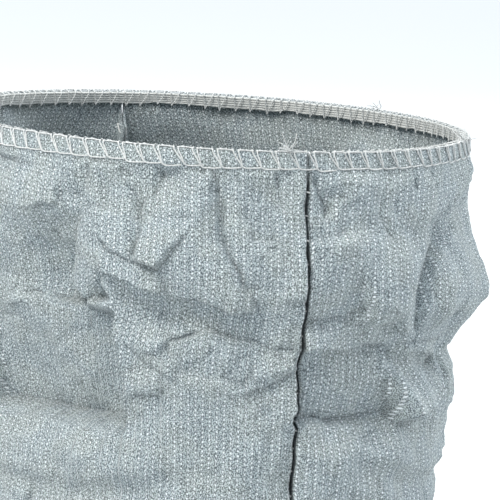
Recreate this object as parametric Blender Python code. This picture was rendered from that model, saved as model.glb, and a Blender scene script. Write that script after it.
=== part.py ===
"""Disposable boot cover: sewn nonwoven upper, sheet sole, and a collar with elastic and an overlocked edge.

Metres, +Z up, +X towards the toe, +Y towards the wearer's left. The origin is on the floor under the middle
of the cover. The upper is two side panels joined by a seam up the back and one over the toe and instep, so
every point of it is found from a girth, measured round from the back seam, and a rise above the floor.
"""

import math
from collections import namedtuple

import bmesh
import bpy
import numpy as np

MM = 0.001

# Driving sizes of the cover as worn over a pull-on work boot
SOLE_LENGTH = 330 * MM
BALL_WIDTH = 122 * MM
COLLAR_HEIGHT = 245 * MM

# Cloth, seams and collar
CLOTH = 0.6 * MM
FIT_GAP = 0.3 * MM
SEAM_ALLOWANCE = 5.0 * MM
SEAM_GROOVE = 1.5 * MM
SEAM_FADE = 7.0 * MM
HEM_HEIGHT = 3.4 * MM
ELASTIC_THICKNESS = 0.7 * MM
ELASTIC_INSET = 0.6 * MM
OVERLOCK_THICKNESS = 0.4 * MM

# Sheet sole, turned up round its edge to meet the upper
SOLE_SHEET = 1.2 * MM
SOLE_TURN_UP = 10.0 * MM
SOLE_TURN_STEPS = 4
SOLE_FLANGE = 4.0 * MM

# Mesh fineness. OUTER_SEAM and INNER_SEAM are the distances from a seam's middle of the columns beside it.
OUTLINE_SAMPLES = 720
PANEL_COLUMNS = 26
OUTER_SEAM = (0.3 * MM, 0.9 * MM, 3.0 * MM)
INNER_SEAM = (0.9 * MM, 1.1 * MM, 3.0 * MM)
NORMAL_STEP = 1.0 * MM
SHARP_EDGE_DEGREES = 40
ROW_RISES_MM = (9, 14, 21, 30, 40, 50, 60, 70, 80, 90, 100, 110, 120, 130, 140, 150, 160, 169, 177,
                184, 190, 195, 200, 205, 210, 216, 222, 228, 234, 239, 242, 245)

# Sections from the sole to the collar. back and front are the section's two ends, in per cent of the sole
# length from the heel. back_rise and front_rise are their heights in per cent of the collar height.
# rear_width and fore_width are in per cent of the ball width. back_round and front_round are how far in from
# each end the outline reaches its full width, in per cent of the sole length: half the section's depth makes
# a plain oval.
# The width goes from rear to fore over FORE_BLEND, two shares of the section's depth.
FORE_BLEND = (0.2, 0.7)
Section = namedtuple(
    "Section", "name back front back_rise front_rise rear_width fore_width back_round front_round"
)
SECTIONS = (
    Section("sole seam", 1.2, 99.0, 3.67, 6.0, 75.0, 96.0, 14.0, 22.0),
    Section("side wall", 0.0, 100.0, 10.0, 14.0, 78.0, 100.0, 14.0, 23.0),
    Section("toe box", 0.0, 98.4, 18.5, 22.0, 78.0, 96.0, 14.5, 26.0),
    Section("toe top", 0.6, 93.5, 25.5, 28.5, 77.0, 90.0, 15.0, 30.0),
    Section("vamp", 1.4, 85.0, 32.0, 34.5, 77.0, 86.0, 15.5, 34.0),
    Section("instep", 2.2, 74.5, 39.0, 40.0, 77.0, 82.0, 16.0, 36.0),
    Section("throat", 2.8, 63.5, 46.0, 47.0, 79.0, 82.0, 17.0, 33.0),
    Section("ankle", 3.2, 54.0, 54.5, 55.5, 82.0, 83.0, 18.0, 27.0),
    Section("lower shaft", 3.3, 47.4, 63.5, 63.5, 86.0, 86.0, 19.5, 23.0),
    Section("shaft", 3.2, 44.0, 73.0, 71.0, 90.0, 90.0, 20.4, 20.4),
    Section("slouch", 3.6, 42.2, 81.2, 78.5, 91.0, 91.0, 19.3, 19.3),
    Section("blouse", 2.8, 43.0, 89.5, 88.0, 97.0, 97.0, 20.1, 20.1),
    Section("gather", 3.6, 42.0, 96.0, 96.0, 95.0, 95.0, 19.2, 19.2),
    Section("collar", 3.9, 41.5, 100.0, 100.0, 93.5, 93.5, 18.8, 18.8),
)

# Broad folds of the slack cloth. turn is the fold's middle in degrees of girth from the back seam, positive
# to the left. rise is its height there in per cent of the collar height, and slant the rise per degree of
# turn. depth is positive for a ridge.
Fold = namedtuple("Fold", "name turn rise turn_reach rise_reach slant depth_mm")
FOLDS = (
    Fold("bulge under the left of the collar", 55, 95.5, 12, 2.6, 0.0, 1.4),
    Fold("hollow under that bulge", 52, 90.6, 9, 3.4, 0.0, -3.0),
    Fold("pillows left of the back seam", 30, 93.2, 13, 4.2, 0.0, 1.5),
    Fold("sag left of the back seam", 24, 86.1, 26, 2.8, 0.093, -2.8),
    Fold("lower left bellow", 20, 81.8, 20, 3.4, 0.05, 1.6),
    Fold("sag right of the back seam", -16, 82.9, 18, 2.8, 0.02, -2.4),
    Fold("right bulge", -60, 86.8, 18, 3.0, 0.0, 4.2),
    Fold("right tuck", -58, 82.2, 18, 1.8, 0.0, -2.4),
    Fold("lower right bellow", -58, 78.4, 20, 2.6, 0.0, 2.2),
    Fold("left side bellow", 90, 79, 26, 5, -0.08, 2.0),
    Fold("throat wrinkle", 180, 57, 34, 3.0, 0.0, -3.2),
    Fold("instep roll", 180, 49, 30, 3.2, 0.0, 2.6),
    Fold("instep wrinkle", 180, 41, 24, 2.8, 0.0, -2.4),
    Fold("left heel wrinkle", 30, 48, 22, 3.5, 0.12, -2.2),
    Fold("right heel wrinkle", -34, 44, 22, 3.5, -0.12, -2.2),
)

Finish = namedtuple("Finish", "red green blue roughness")
CLOTH_GREY = Finish(0.36, 0.43, 0.46, 0.75)
SOLE_GREY = Finish(0.20, 0.24, 0.27, 0.6)
ELASTIC_WHITE = Finish(0.80, 0.81, 0.80, 0.8)
THREAD_WHITE = Finish(0.86, 0.87, 0.87, 0.9)


def section_at(rise):
    """Every section column at a height of the back edge, on a smooth curve through the table."""
    table = np.array([section[1:] for section in SECTIONS])
    knots = table[:, 2] / 100 * COLLAR_HEIGHT
    slopes = np.gradient(table, knots, axis=0)
    low = int(np.clip(np.searchsorted(knots, rise) - 1, 0, len(knots) - 2))
    span = knots[low + 1] - knots[low]
    t = (rise - knots[low]) / span
    row = (
        (2 * t**3 - 3 * t**2 + 1) * table[low]
        + (t**3 - 2 * t**2 + t) * span * slopes[low]
        + (3 * t**2 - 2 * t**3) * table[low + 1]
        + (t**3 - t**2) * span * slopes[low + 1]
    )
    return Section("between", *row)


def smooth_step(value, low, high):
    """0 below low, 1 above high, and a smooth rise between them."""
    t = np.clip((value - low) / (high - low), 0, 1)
    return t * t * (3 - 2 * t)


def end_rounding(distance, length):
    """Share of the full width at a distance in from an end that rounds off as an ellipse over a length."""
    return np.sqrt(np.clip(1 - (1 - np.minimum(distance / length, 1)) ** 2, 0, 1))


def outline(rise):
    """One closed section as points and the girth at each, from the back seam round by the left."""
    section = section_at(rise)
    angle = np.linspace(0, 2 * math.pi, OUTLINE_SAMPLES + 1)
    along = (1 - np.cos(angle)) / 2
    back = (section.back / 100 - 0.5) * SOLE_LENGTH
    depth = (section.front - section.back) / 100 * SOLE_LENGTH
    fore = smooth_step(along, *FORE_BLEND)
    half_width = (section.rear_width * (1 - fore) + section.fore_width * fore) / 200 * BALL_WIDTH
    half_width *= end_rounding(along * depth, section.back_round / 100 * SOLE_LENGTH)
    half_width *= end_rounding((1 - along) * depth, section.front_round / 100 * SOLE_LENGTH)
    climb = (section.front_rise - section.back_rise) / 100 * COLLAR_HEIGHT
    left_or_right = np.sign(np.sin(angle))
    points = np.stack([back + depth * along, half_width * left_or_right, rise + climb * along], axis=1)
    girth = np.concatenate([[0], np.cumsum(np.linalg.norm(np.diff(points, axis=0), axis=1))])
    return points, girth


def fold_depth(turn, rise):
    """How far the broad folds push the cloth out at turns in degrees and a rise."""
    depth = np.zeros_like(turn)
    for fold in FOLDS:
        off_turn = (turn - fold.turn + 180) % 360 - 180
        off_rise = rise / COLLAR_HEIGHT * 100 - fold.rise - fold.slant * off_turn
        distance = (off_turn / fold.turn_reach) ** 2 + (off_rise / fold.rise_reach) ** 2
        depth += fold.depth_mm * MM * np.exp(-distance)
    return depth


def plain_loop(rise, seam_offsets, pushed=True):
    """One loop of the cover: columns at set distances from both seams, and even ones over each panel."""
    points, girth = outline(rise)
    half = girth[-1] / 2
    first, last = max(seam_offsets), half - max(seam_offsets)
    panel = np.linspace(first, last, PANEL_COLUMNS + 2)[1:-1]
    near = np.array(sorted(seam_offsets))
    left = np.concatenate([near, panel, half - near[::-1]])
    at = np.concatenate([left, 2 * half - left[::-1]])
    loop = np.stack([np.interp(at, girth, points[:, axis]) for axis in range(3)], axis=1)
    if pushed:
        loop += flat_normals(loop) * fold_depth(at / girth[-1] * 360, rise)[:, None]
    return loop


def flat_normals(loop):
    """Outward normals of a loop within its own level."""
    tangent = np.roll(loop, -1, axis=0) - np.roll(loop, 1, axis=0)
    normal = np.stack([tangent[:, 1], -tangent[:, 0], np.zeros(len(loop))], axis=1)
    return normal / np.linalg.norm(normal, axis=1)[:, None] * np.sign(signed_area(loop))


def signed_area(loop):
    """Area of a loop seen from above, positive when it runs anticlockwise."""
    x, y = loop[:, 0], loop[:, 1]
    return np.sum(x * np.roll(y, -1) - np.roll(x, -1) * y) / 2


def cloth_loop(rise, offset, seam_offsets, seam_push):
    """A loop pushed off the outer face along its true normal, and further at the columns beside the seams."""
    low = plain_loop(max(rise - NORMAL_STEP, ROW_RISES_MM[0] * MM), seam_offsets)
    high = plain_loop(min(rise + NORMAL_STEP, COLLAR_HEIGHT), seam_offsets)
    loop = plain_loop(rise, seam_offsets)
    around = np.roll(loop, -1, axis=0) - np.roll(loop, 1, axis=0)
    normal = np.cross(around, high - low)
    normal /= np.linalg.norm(normal, axis=1)[:, None]
    normal *= np.sign(np.sum(normal * flat_normals(loop), axis=1))[:, None]
    push = np.full(len(loop), float(offset))
    push[[0, len(loop) // 2 - 1, len(loop) // 2, -1]] += seam_push
    return loop + normal * push[:, None]


def seam_share(rise):
    """How fully the seam stands in from the wall: it fades out at the sole and under the collar hem."""
    foot = ROW_RISES_MM[0] * MM
    fade_in = smooth_step(rise, foot + SOLE_SHEET, foot + SOLE_SHEET + SEAM_FADE)
    hem = COLLAR_HEIGHT - HEM_HEIGHT
    return fade_in * (1 - smooth_step(rise, hem - SEAM_FADE, hem))


def skin(name, loops, closed, finish):
    """A solid from a chain of loops with equal columns, joined end to start when closed, or capped flat."""
    mesh = bmesh.new()
    rings = [[mesh.verts.new(point) for point in loop] for loop in loops]
    columns = len(rings[0])
    pairs = list(zip(rings, rings[1:]))
    if closed:
        pairs.append((rings[-1], rings[0]))
    for low, high in pairs:
        for i in range(columns):
            j = (i + 1) % columns
            mesh.faces.new((low[i], low[j], high[j], high[i]))
    if not closed:
        mesh.faces.new(rings[0])
        mesh.faces.new(rings[-1])
    bmesh.ops.recalc_face_normals(mesh, faces=mesh.faces)
    data = bpy.data.meshes.new(name)
    mesh.to_mesh(data)
    mesh.free()
    data.shade_smooth()
    data.set_sharp_from_angle(angle=math.radians(SHARP_EDGE_DEGREES))
    piece = bpy.data.objects.new(name, data)
    piece.data.materials.append(plain_material(name, finish))
    bpy.context.scene.collection.objects.link(piece)
    return piece


def plain_material(name, finish):
    """A plain material for one piece."""
    material = bpy.data.materials.new(name)
    material.use_nodes = True
    shader = material.node_tree.nodes["Principled BSDF"]
    shader.inputs["Base Color"].default_value = (finish.red, finish.green, finish.blue, 1)
    shader.inputs["Roughness"].default_value = finish.roughness
    shader.inputs["Metallic"].default_value = 0.0
    return material


def inset_foot_loop(inset, height):
    """The foot outline drawn in level by an inset. height is a share of the seam's rise over the floor."""
    foot = plain_loop(ROW_RISES_MM[0] * MM, OUTER_SEAM, pushed=False)
    loop = foot - flat_normals(foot) * inset
    loop[:, 2] = foot[:, 2] * height
    return loop


def build_upper():
    """The hollow upper: outer face from the collar down, the margin turned in, and the inner face up."""
    rises = [rise * MM for rise in ROW_RISES_MM]
    outer = [cloth_loop(rise, 0, OUTER_SEAM, -SEAM_GROOVE * seam_share(rise)) for rise in reversed(rises)]
    inner = [cloth_loop(rise, -CLOTH, INNER_SEAM, -SEAM_ALLOWANCE * seam_share(rise)) for rise in rises[1:]]
    lift = np.array([0, 0, FIT_GAP / 2])
    ply = np.array([0, 0, CLOTH])
    edge = inset_foot_loop(0, 1) + lift
    margin = inset_foot_loop(SOLE_FLANGE, 1) + lift
    corner = inset_foot_loop(CLOTH, 1) + lift + ply
    outer[-1] = edge
    return skin("upper", [*outer, margin, margin + ply, corner, *inner], True, CLOTH_GREY)


def build_sole():
    """The sheet sole: flat underneath, curled up round its edge and turned in under the upper's margin."""
    drop = np.array([0, 0, -FIT_GAP / 2])
    ply = np.array([0, 0, SOLE_SHEET])
    turns = [math.pi / 2 * step / SOLE_TURN_STEPS for step in range(SOLE_TURN_STEPS + 1)]
    under = [inset_foot_loop(SOLE_TURN_UP * (1 - math.sin(turn)), 1 - math.cos(turn)) for turn in turns]
    under[-1] = under[-1] + drop
    top_edge = inset_foot_loop(SOLE_FLANGE, 1) + drop
    inside = []
    for turn in reversed(turns):
        inset = SOLE_SHEET + (SOLE_TURN_UP - SOLE_SHEET) * (1 - math.sin(turn))
        loop = inset_foot_loop(inset, 1)
        seam = loop[:, 2] + drop[2] - SOLE_SHEET
        loop[:, 2] = SOLE_SHEET + (seam - SOLE_SHEET) * (1 - math.cos(turn))
        inside.append(loop)
    return skin("sole", [*under, top_edge, top_edge - ply, *inside], False, SOLE_GREY)


def collar_ring(name, profile, finish):
    """A ring swept round the collar. profile is corners of (drop below the rim, offset from the face)."""
    loops = []
    for drop, offset in profile:
        loop = cloth_loop(COLLAR_HEIGHT - max(drop, 0), offset, OUTER_SEAM, 0)
        loop[:, 2] += max(-drop, 0)
        loops.append(loop)
    return skin(name, loops, True, finish)


def build_collar():
    """The elastic behind the collar's edge, and the overlocked edging that wraps cloth and elastic."""
    elastic_face = -CLOTH - FIT_GAP
    elastic_back = elastic_face - ELASTIC_THICKNESS
    low, high = HEM_HEIGHT - ELASTIC_INSET, 0.0
    collar_ring(
        "collar_elastic",
        [(high, elastic_face), (low, elastic_face), (low, elastic_back), (high, elastic_back)],
        ELASTIC_WHITE,
    )
    inside = elastic_back - FIT_GAP
    wrap = OVERLOCK_THICKNESS
    collar_ring(
        "collar_overlock",
        [
            (HEM_HEIGHT, FIT_GAP),
            (HEM_HEIGHT, FIT_GAP + wrap),
            (-FIT_GAP - wrap, FIT_GAP + wrap),
            (-FIT_GAP - wrap, inside - wrap),
            (HEM_HEIGHT, inside - wrap),
            (HEM_HEIGHT, inside),
            (-FIT_GAP, inside),
            (-FIT_GAP, FIT_GAP),
        ],
        THREAD_WHITE,
    )


def main():
    """Clears the scene and builds the cover."""
    for old in list(bpy.data.objects):
        bpy.data.objects.remove(old)
    build_upper()
    build_sole()
    build_collar()


main()
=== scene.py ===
"""Looks of the disposable boot cover: crumpled embossed cloth, sewn seams, gathered collar and sheet sole.

Sizes in the classes are millimetres and become metres when a mesh is written. A point of the upper is found
from its girth, measured at the collar from the back seam and positive to the wearer's left, and its drop
below the collar's rim.
"""

import logging
import math
from dataclasses import dataclass, field
from enum import Enum
from itertools import starmap
from typing import Callable, NamedTuple, Optional, Sequence, Union

import bmesh
import bpy
import numpy as np
from mathutils import Matrix, Vector


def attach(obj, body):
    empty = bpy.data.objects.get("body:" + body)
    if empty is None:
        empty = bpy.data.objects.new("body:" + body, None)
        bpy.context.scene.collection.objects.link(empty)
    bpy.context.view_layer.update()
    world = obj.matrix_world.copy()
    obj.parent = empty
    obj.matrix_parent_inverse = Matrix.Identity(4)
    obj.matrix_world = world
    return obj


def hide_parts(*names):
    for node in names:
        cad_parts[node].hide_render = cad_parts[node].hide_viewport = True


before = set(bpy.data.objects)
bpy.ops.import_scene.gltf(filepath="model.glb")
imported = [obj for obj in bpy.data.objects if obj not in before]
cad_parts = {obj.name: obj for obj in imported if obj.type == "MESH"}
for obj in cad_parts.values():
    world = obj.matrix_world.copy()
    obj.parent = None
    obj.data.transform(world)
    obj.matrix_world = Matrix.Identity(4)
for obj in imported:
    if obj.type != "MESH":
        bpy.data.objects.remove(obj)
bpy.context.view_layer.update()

LOG = logging.getLogger("boot_cover")
MM = 0.001
BODY = "root"
UP = np.array([0.0, 0.0, 1.0])
ACROSS = np.array([0.0, 1.0, 0.0])
TURN = 2 * math.pi

Array = np.ndarray
Material = bpy.types.Material
Socket = bpy.types.NodeSocket
Feed = Union[Socket, float, tuple]
Pairs = tuple[tuple[float, float], ...]


class Side(Enum):
    """The wearer's left or right, with the sign of Y there."""

    LEFT = 1
    RIGHT = -1


class Slot(Enum):
    """The record's material slots."""

    CLOTH = "cover_cloth"
    SOLE = "sole_sheet"
    ELASTIC = "elastic"
    THREAD = "thread"


class Seam(Enum):
    """The two seams that join the side panels, with the column of a panel's grid at each."""

    BACK = 0
    FRONT = -1


class Section(NamedTuple):
    """One level section: lengths in per cent of the sole, rises of the collar height, widths of the ball."""

    name: str
    back: float
    front: float
    back_rise: float
    front_rise: float
    rear_width: float
    fore_width: float
    back_round: float
    front_round: float


class Fold(NamedTuple):
    """One broad fold of the slack cloth.

    Its turn is in degrees from the back seam, and its rise in per cent of the collar's.
    """

    name: str
    turn: float
    rise: float
    turn_reach: float
    rise_reach: float
    slant: float
    depth: float


class Crease(NamedTuple):
    """One crease along a path of girths and drops in turn, with a height and a reach to each of its sides.

    The sides are those of someone who walks along the path outside: above and below for a path that goes
    to the wearer's right, towards the right and the left for one that goes down. Between the heights stands
    a wall.
    """

    name: str
    path: tuple[float, ...]
    left: float
    left_reach: float
    right: float
    right_reach: float
    wall: float = 0.6


class Facet(NamedTuple):
    """One flat patch of crumpled cloth between sharp edges.

    Attributes:
        name: Where it is.
        corners: Girths and drops of its corners, in turn.
        down: How much further it stands out for each millimetre down. Above 0 it faces up.
        left: The same for each millimetre to the wearer's left. Above 0 it faces right.
        lift: How far its middle stands out.
        edge: Width over which it gives way to its neighbours.
    """

    name: str
    corners: tuple[float, ...]
    down: float
    left: float
    lift: float = 0.0
    edge: float = 1.0


class Puff(NamedTuple):
    """One pillow of cloth between creases: an oval with a flat top.

    Its tilt is in degrees, anticlockwise as seen from outside.
    """

    name: str
    girth: float
    drop: float
    half_girth: float
    half_drop: float
    tilt: float
    height: float


SECTIONS = tuple(starmap(Section, (
    ("sole seam", 1.2, 99, 3.67, 6, 75, 96, 14, 22),
    ("side wall", 0, 100, 10, 14, 78, 100, 14, 23),
    ("toe box", 0, 98.4, 18.5, 22, 78, 96, 14.5, 26),
    ("toe top", 0.6, 93.5, 25.5, 28.5, 77, 90, 15, 30),
    ("vamp", 1.4, 85, 32, 34.5, 77, 86, 15.5, 34),
    ("instep", 2.2, 74.5, 39, 40, 77, 82, 16, 36),
    ("throat", 2.8, 63.5, 46, 47, 79, 82, 17, 33),
    ("ankle", 3.2, 54, 54.5, 55.5, 82, 83, 18, 27),
    ("lower shaft", 3.3, 47.4, 63.5, 63.5, 86, 86, 19.5, 23),
    ("shaft", 3.2, 44, 73, 71, 90, 90, 20.4, 20.4),
    ("slouch", 3.6, 42.2, 81.2, 78.5, 91, 91, 19.3, 19.3),
    ("blouse", 2.8, 43, 89.5, 88, 97, 97, 20.1, 20.1),
    ("gather", 3.6, 42, 96, 96, 95, 95, 19.2, 19.2),
    ("collar", 3.9, 41.5, 100, 100, 93.5, 93.5, 18.8, 18.8),
)))

FOLDS = tuple(starmap(Fold, (
    ("bulge under the left of the collar", 55, 95.5, 12, 2.6, 0, 1.4),
    ("hollow under that bulge", 52, 90.6, 9, 3.4, 0, -3),
    ("pillows left of the back seam", 30, 93.2, 13, 4.2, 0, 1.5),
    ("sag left of the back seam", 24, 86.1, 26, 2.8, 0.093, -2.8),
    ("lower left bellow", 20, 81.8, 20, 3.4, 0.05, 1.6),
    ("sag right of the back seam", -16, 82.9, 18, 2.8, 0.02, -2.4),
    ("right bulge", -60, 86.8, 18, 3, 0, 4.2),
    ("right tuck", -58, 82.2, 18, 1.8, 0, -2.4),
    ("lower right bellow", -58, 78.4, 20, 2.6, 0, 2.2),
    ("left side bellow", 90, 79, 26, 5, -0.08, 2),
    ("throat wrinkle", 180, 57, 34, 3, 0, -3.2),
    ("instep roll", 180, 49, 30, 3.2, 0, 2.6),
    ("instep wrinkle", 180, 41, 24, 2.8, 0, -2.4),
    ("left heel wrinkle", 30, 48, 22, 3.5, 0.12, -2.2),
    ("right heel wrinkle", -34, 44, 22, 3.5, -0.12, -2.2),
)))

CREASES = tuple(starmap(Crease, (
    # Seen from behind, across from the left to the right: heights above and below
    ("foot of the first pillow", (42.2, 19.8, 38.5, 21.9, 34.6, 23), 0.2, 3, -0.2, 1.2, 0.5),
    ("foot of the second pillow", (34.2, 22.8, 28.8, 23.5, 26.6, 21.4, 24.2, 17), 0.1, 3, -0.2, 1.2, 0.5),
    ("main sag on the left", (47, 29, 40, 29.8, 31, 31.6, 21, 34.2, 13, 36.4, 2, 39.2), 0.1, 5, -0.2, 6,
     4.6),
    ("corner of the sag", (47, 31, 43, 28.6, 40.2, 26), -0.8, 2, -0.8, 2),
    ("sharp fold on the lower bellow", (30, 40.8, 26.5, 38.6, 23.5, 37.4, 17.5, 37.2), 0.6, 5, -0.3, 2),
    ("slant on the lower bellow", (36, 40.6, 32, 43.4, 28, 45.8, 23, 47.6), 0.3, 5, -0.35, 2.5),
    ("foot of the left hollow", (76, 30.8, 58, 30.2, 51.5, 29.4), -0.4, 10, -0.4, 14),
    ("fold under the lower left wall", (76, 58, 56, 57, 38, 58), -3, 22, -3, 7),
    ("fold under the lower right", (-2, 57, -14, 58, -29, 57), -2.5, 12, -2.5, 6),
    ("tuck left of the seam below", (12, 48.8, 7, 46.8, 0.5, 44.4), 0.5, 2.5, -0.7, 4),
    ("light crease across the right", (-1.5, 15.6, -10, 15.2, -17, 16, -36, 17.2), -0.25, 3, -0.25, 3),
    ("sag right of the seam", (-0.5, 39.8, -4, 40.2, -12, 41.2, -22, 40.4, -29, 39.4), 0.5, 4, -1.5, 7,
     2.6),
    ("end of the right sag", (-26, 39.2, -36, 40.8, -48, 41), 0.3, 3, -0.4, 3, 0.8),
    ("puff under the right hem", (-46, 7, -74, 7), 1.3, 5, 1.3, 5),
    ("notch at the right edge", (-46, 13.2, -72, 13.4), -1.3, 4, -1.3, 4),
    ("tick over the left sag", (11.5, 27, 6, 26.6, 1.2, 27.2), -0.1, 1, -0.2, 1.5),
    ("lift where the seam crosses the sag", (9, 37, -9, 38.5), 1.2, 14, 1.2, 8),
    ("seam held out over the sag", (1.8, 39.5, -1.8, 39.5), 2, 9, 2, 3.5),
    ("slack in the right waist", (-50, 42.5, -80, 42.5), 1.2, 4, 1.2, 4),
    # Seen from behind, running down: heights towards the right and towards the left
    ("edge of the left hollow", (44.8, 12, 46.5, 15.5, 49.5, 22.5, 52.5, 29.5), -1, 4, -1, 5),
    ("upright in the left bulge", (45.8, 4, 46.6, 9, 47, 13), -1.3, 1.5, -1.3, 7),
    ("pit in the left hollow", (56, 20, 54.5, 22), -0.8, 2, -0.8, 2),
    ("hem pucker over the first pillow", (40.4, 3.8, 40.6, 10.5), -0.6, 1.5, -0.6, 2.5),
    ("left arm between the pillows", (38.4, 4, 36.4, 9, 34.4, 13), -0.9, 4, -0.9, 1.5),
    ("right arm between the pillows", (31.4, 3.5, 32.3, 8.5, 34.4, 13), -1, 1.3, -1, 4),
    ("stem between the pillows", (34.4, 11, 34.1, 17, 34.4, 23), -1.4, 1.4, -1.4, 2.4),
    ("ridge right of the second pillow", (21.6, 3.6, 22.8, 9, 23, 14), 0.7, 4, 0.7, 5),
    ("long crease left of the seam", (20.2, 3.6, 18.3, 8, 16.8, 12, 16.5, 17, 14.8, 22, 12.6, 27, 11, 31),
     -1.2, 1, -1.2, 2.2),
    ("ridge beside the long crease", (15, 9, 14.2, 14, 13.2, 19, 11, 25), 0.6, 2.5, 0.6, 1.6),
    ("seam below the sag", (0, 43, 0, 58), 2, 9, 2, 9),
    ("edge of the pressed allowance", (7.2, 4.2, 7, 12, 6.8, 20, 6.5, 32), 0.45, 6, -0.2, 3, 0.5),
    ("facet over the left sag", (12.5, 28, 11.8, 34), -0.5, 1.5, -0.2, 3),
    ("edge of the lower left wall", (40.6, 34.5, 39, 42, 36.6, 53), 1, 5, -0.3, 6, 0.9),
    ("short slant right of the seam", (-1.2, 4.2, -2.8, 8, -4.6, 12.5), -1.6, 3, -1.6, 1.2),
    ("tick on the right", (-18.6, 14.2, -22.4, 20.8), -0.5, 1.2, -0.5, 1),
    ("long slant on the right", (-41.5, 13.5, -35.5, 21.5, -32.5, 27, -30.5, 34, -32, 38.5), -2.6, 2.2,
     -2.6, 5),
    ("upright by the right edge", (-46, 10, -45, 19), -0.7, 2, -0.7, 1.4),
    ("tuck at the right edge", (-51, 43.5, -49.5, 48, -46, 54), -2.2, 2.5, -2.2, 2.5),
    ("hem pucker right", (-26, 3.6, -27.5, 8.5), -0.6, 1.2, -0.6, 1.2),
    ("hem pucker far right", (-33, 3.6, -35.5, 8.5), -0.6, 1.2, -0.6, 1.2),
    # On the sides, front and foot, which other views show, in the same two ways
    ("left side sag", (132, 42, 110, 44, 88, 40, 70, 36), 1.2, 9, -2, 6, 4),
    ("left front sag", (172, 38, 150, 34, 128, 28), 1.1, 8, -1.8, 6, 3.5),
    ("right side sag", (-74, 44, -95, 42, -118, 46, -138, 43), 1.2, 9, -2, 6, 4),
    ("right front sag", (-132, 30, -155, 36, -174, 39), 1.1, 8, -1.8, 6, 3.5),
    ("left upper crease", (78, 6, 84, 18, 80, 31), -1.5, 2, -1.5, 6),
    ("left front crease", (118, 5, 123, 16, 117, 29), -1.4, 6, -1.4, 2),
    ("left instep crease", (150, 4, 146, 18, 152, 30), -1.3, 2, -1.3, 6),
    ("right upper crease", (-88, 5, -83, 19, -90, 34), -1.5, 6, -1.5, 2),
    ("right middle crease", (-116, 4, -121, 17, -115, 32), -1.4, 2, -1.4, 6),
    ("right front crease", (-152, 5, -146, 19, -153, 33), -1.3, 6, -1.3, 2),
    ("left lower fold", (104, 76, 75, 70, 45, 72, 20, 66), 1, 9, -1.6, 6, 4),
    ("right lower fold", (-16, 64, -40, 71, -70, 69, -100, 75), 1, 9, -1.6, 6, 4),
    ("left ankle fold", (184, 112, 158, 108, 125, 98, 96, 92), 1.4, 10, -1.8, 7, 4),
    ("right ankle fold", (-92, 94, -122, 100, -156, 109, -184, 112), 1.4, 10, -1.8, 7, 4),
    ("left throat fold", (184, 132, 142, 122, 112, 114), 1.2, 8, -1.6, 7, 4),
    ("right throat fold", (-108, 116, -140, 123, -184, 132), 1.2, 8, -1.6, 7, 4),
    ("left heel crease", (58, 108, 34, 112, 14, 104), 0.8, 6, -1.2, 5, 3),
    ("right heel crease", (-12, 100, -36, 110, -60, 105), 0.8, 6, -1.2, 5, 3),
    ("left heel upright", (24, 128, 30, 152, 26, 178), -1.1, 3, -1.1, 6),
    ("right heel upright", (-26, 126, -30, 150, -24, 176), -1.1, 6, -1.1, 3),
    ("left waist slant", (104, 190, 92, 160, 70, 138), 0.6, 6, -1.2, 6, 2.5),
    ("right waist slant", (-68, 140, -90, 160, -104, 192), 0.6, 6, -1.2, 6, 2.5),
    ("left vamp slant", (168, 164, 140, 158, 122, 146), 0.6, 6, -1.1, 6, 2.5),
    ("right vamp slant", (-120, 148, -142, 158, -168, 165), 0.6, 6, -1.1, 6, 2.5),
    ("left toe crease", (172, 186, 150, 188, 130, 182), -0.9, 3, -0.9, 5),
    ("right toe crease", (-132, 180, -150, 188, -172, 187), -0.9, 3, -0.9, 5),
    ("left wall crease", (110, 200, 84, 204, 60, 196), -0.8, 3, -0.8, 4),
    ("right wall crease", (-58, 198, -86, 204, -112, 199), -0.8, 3, -0.8, 4),
)))

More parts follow.
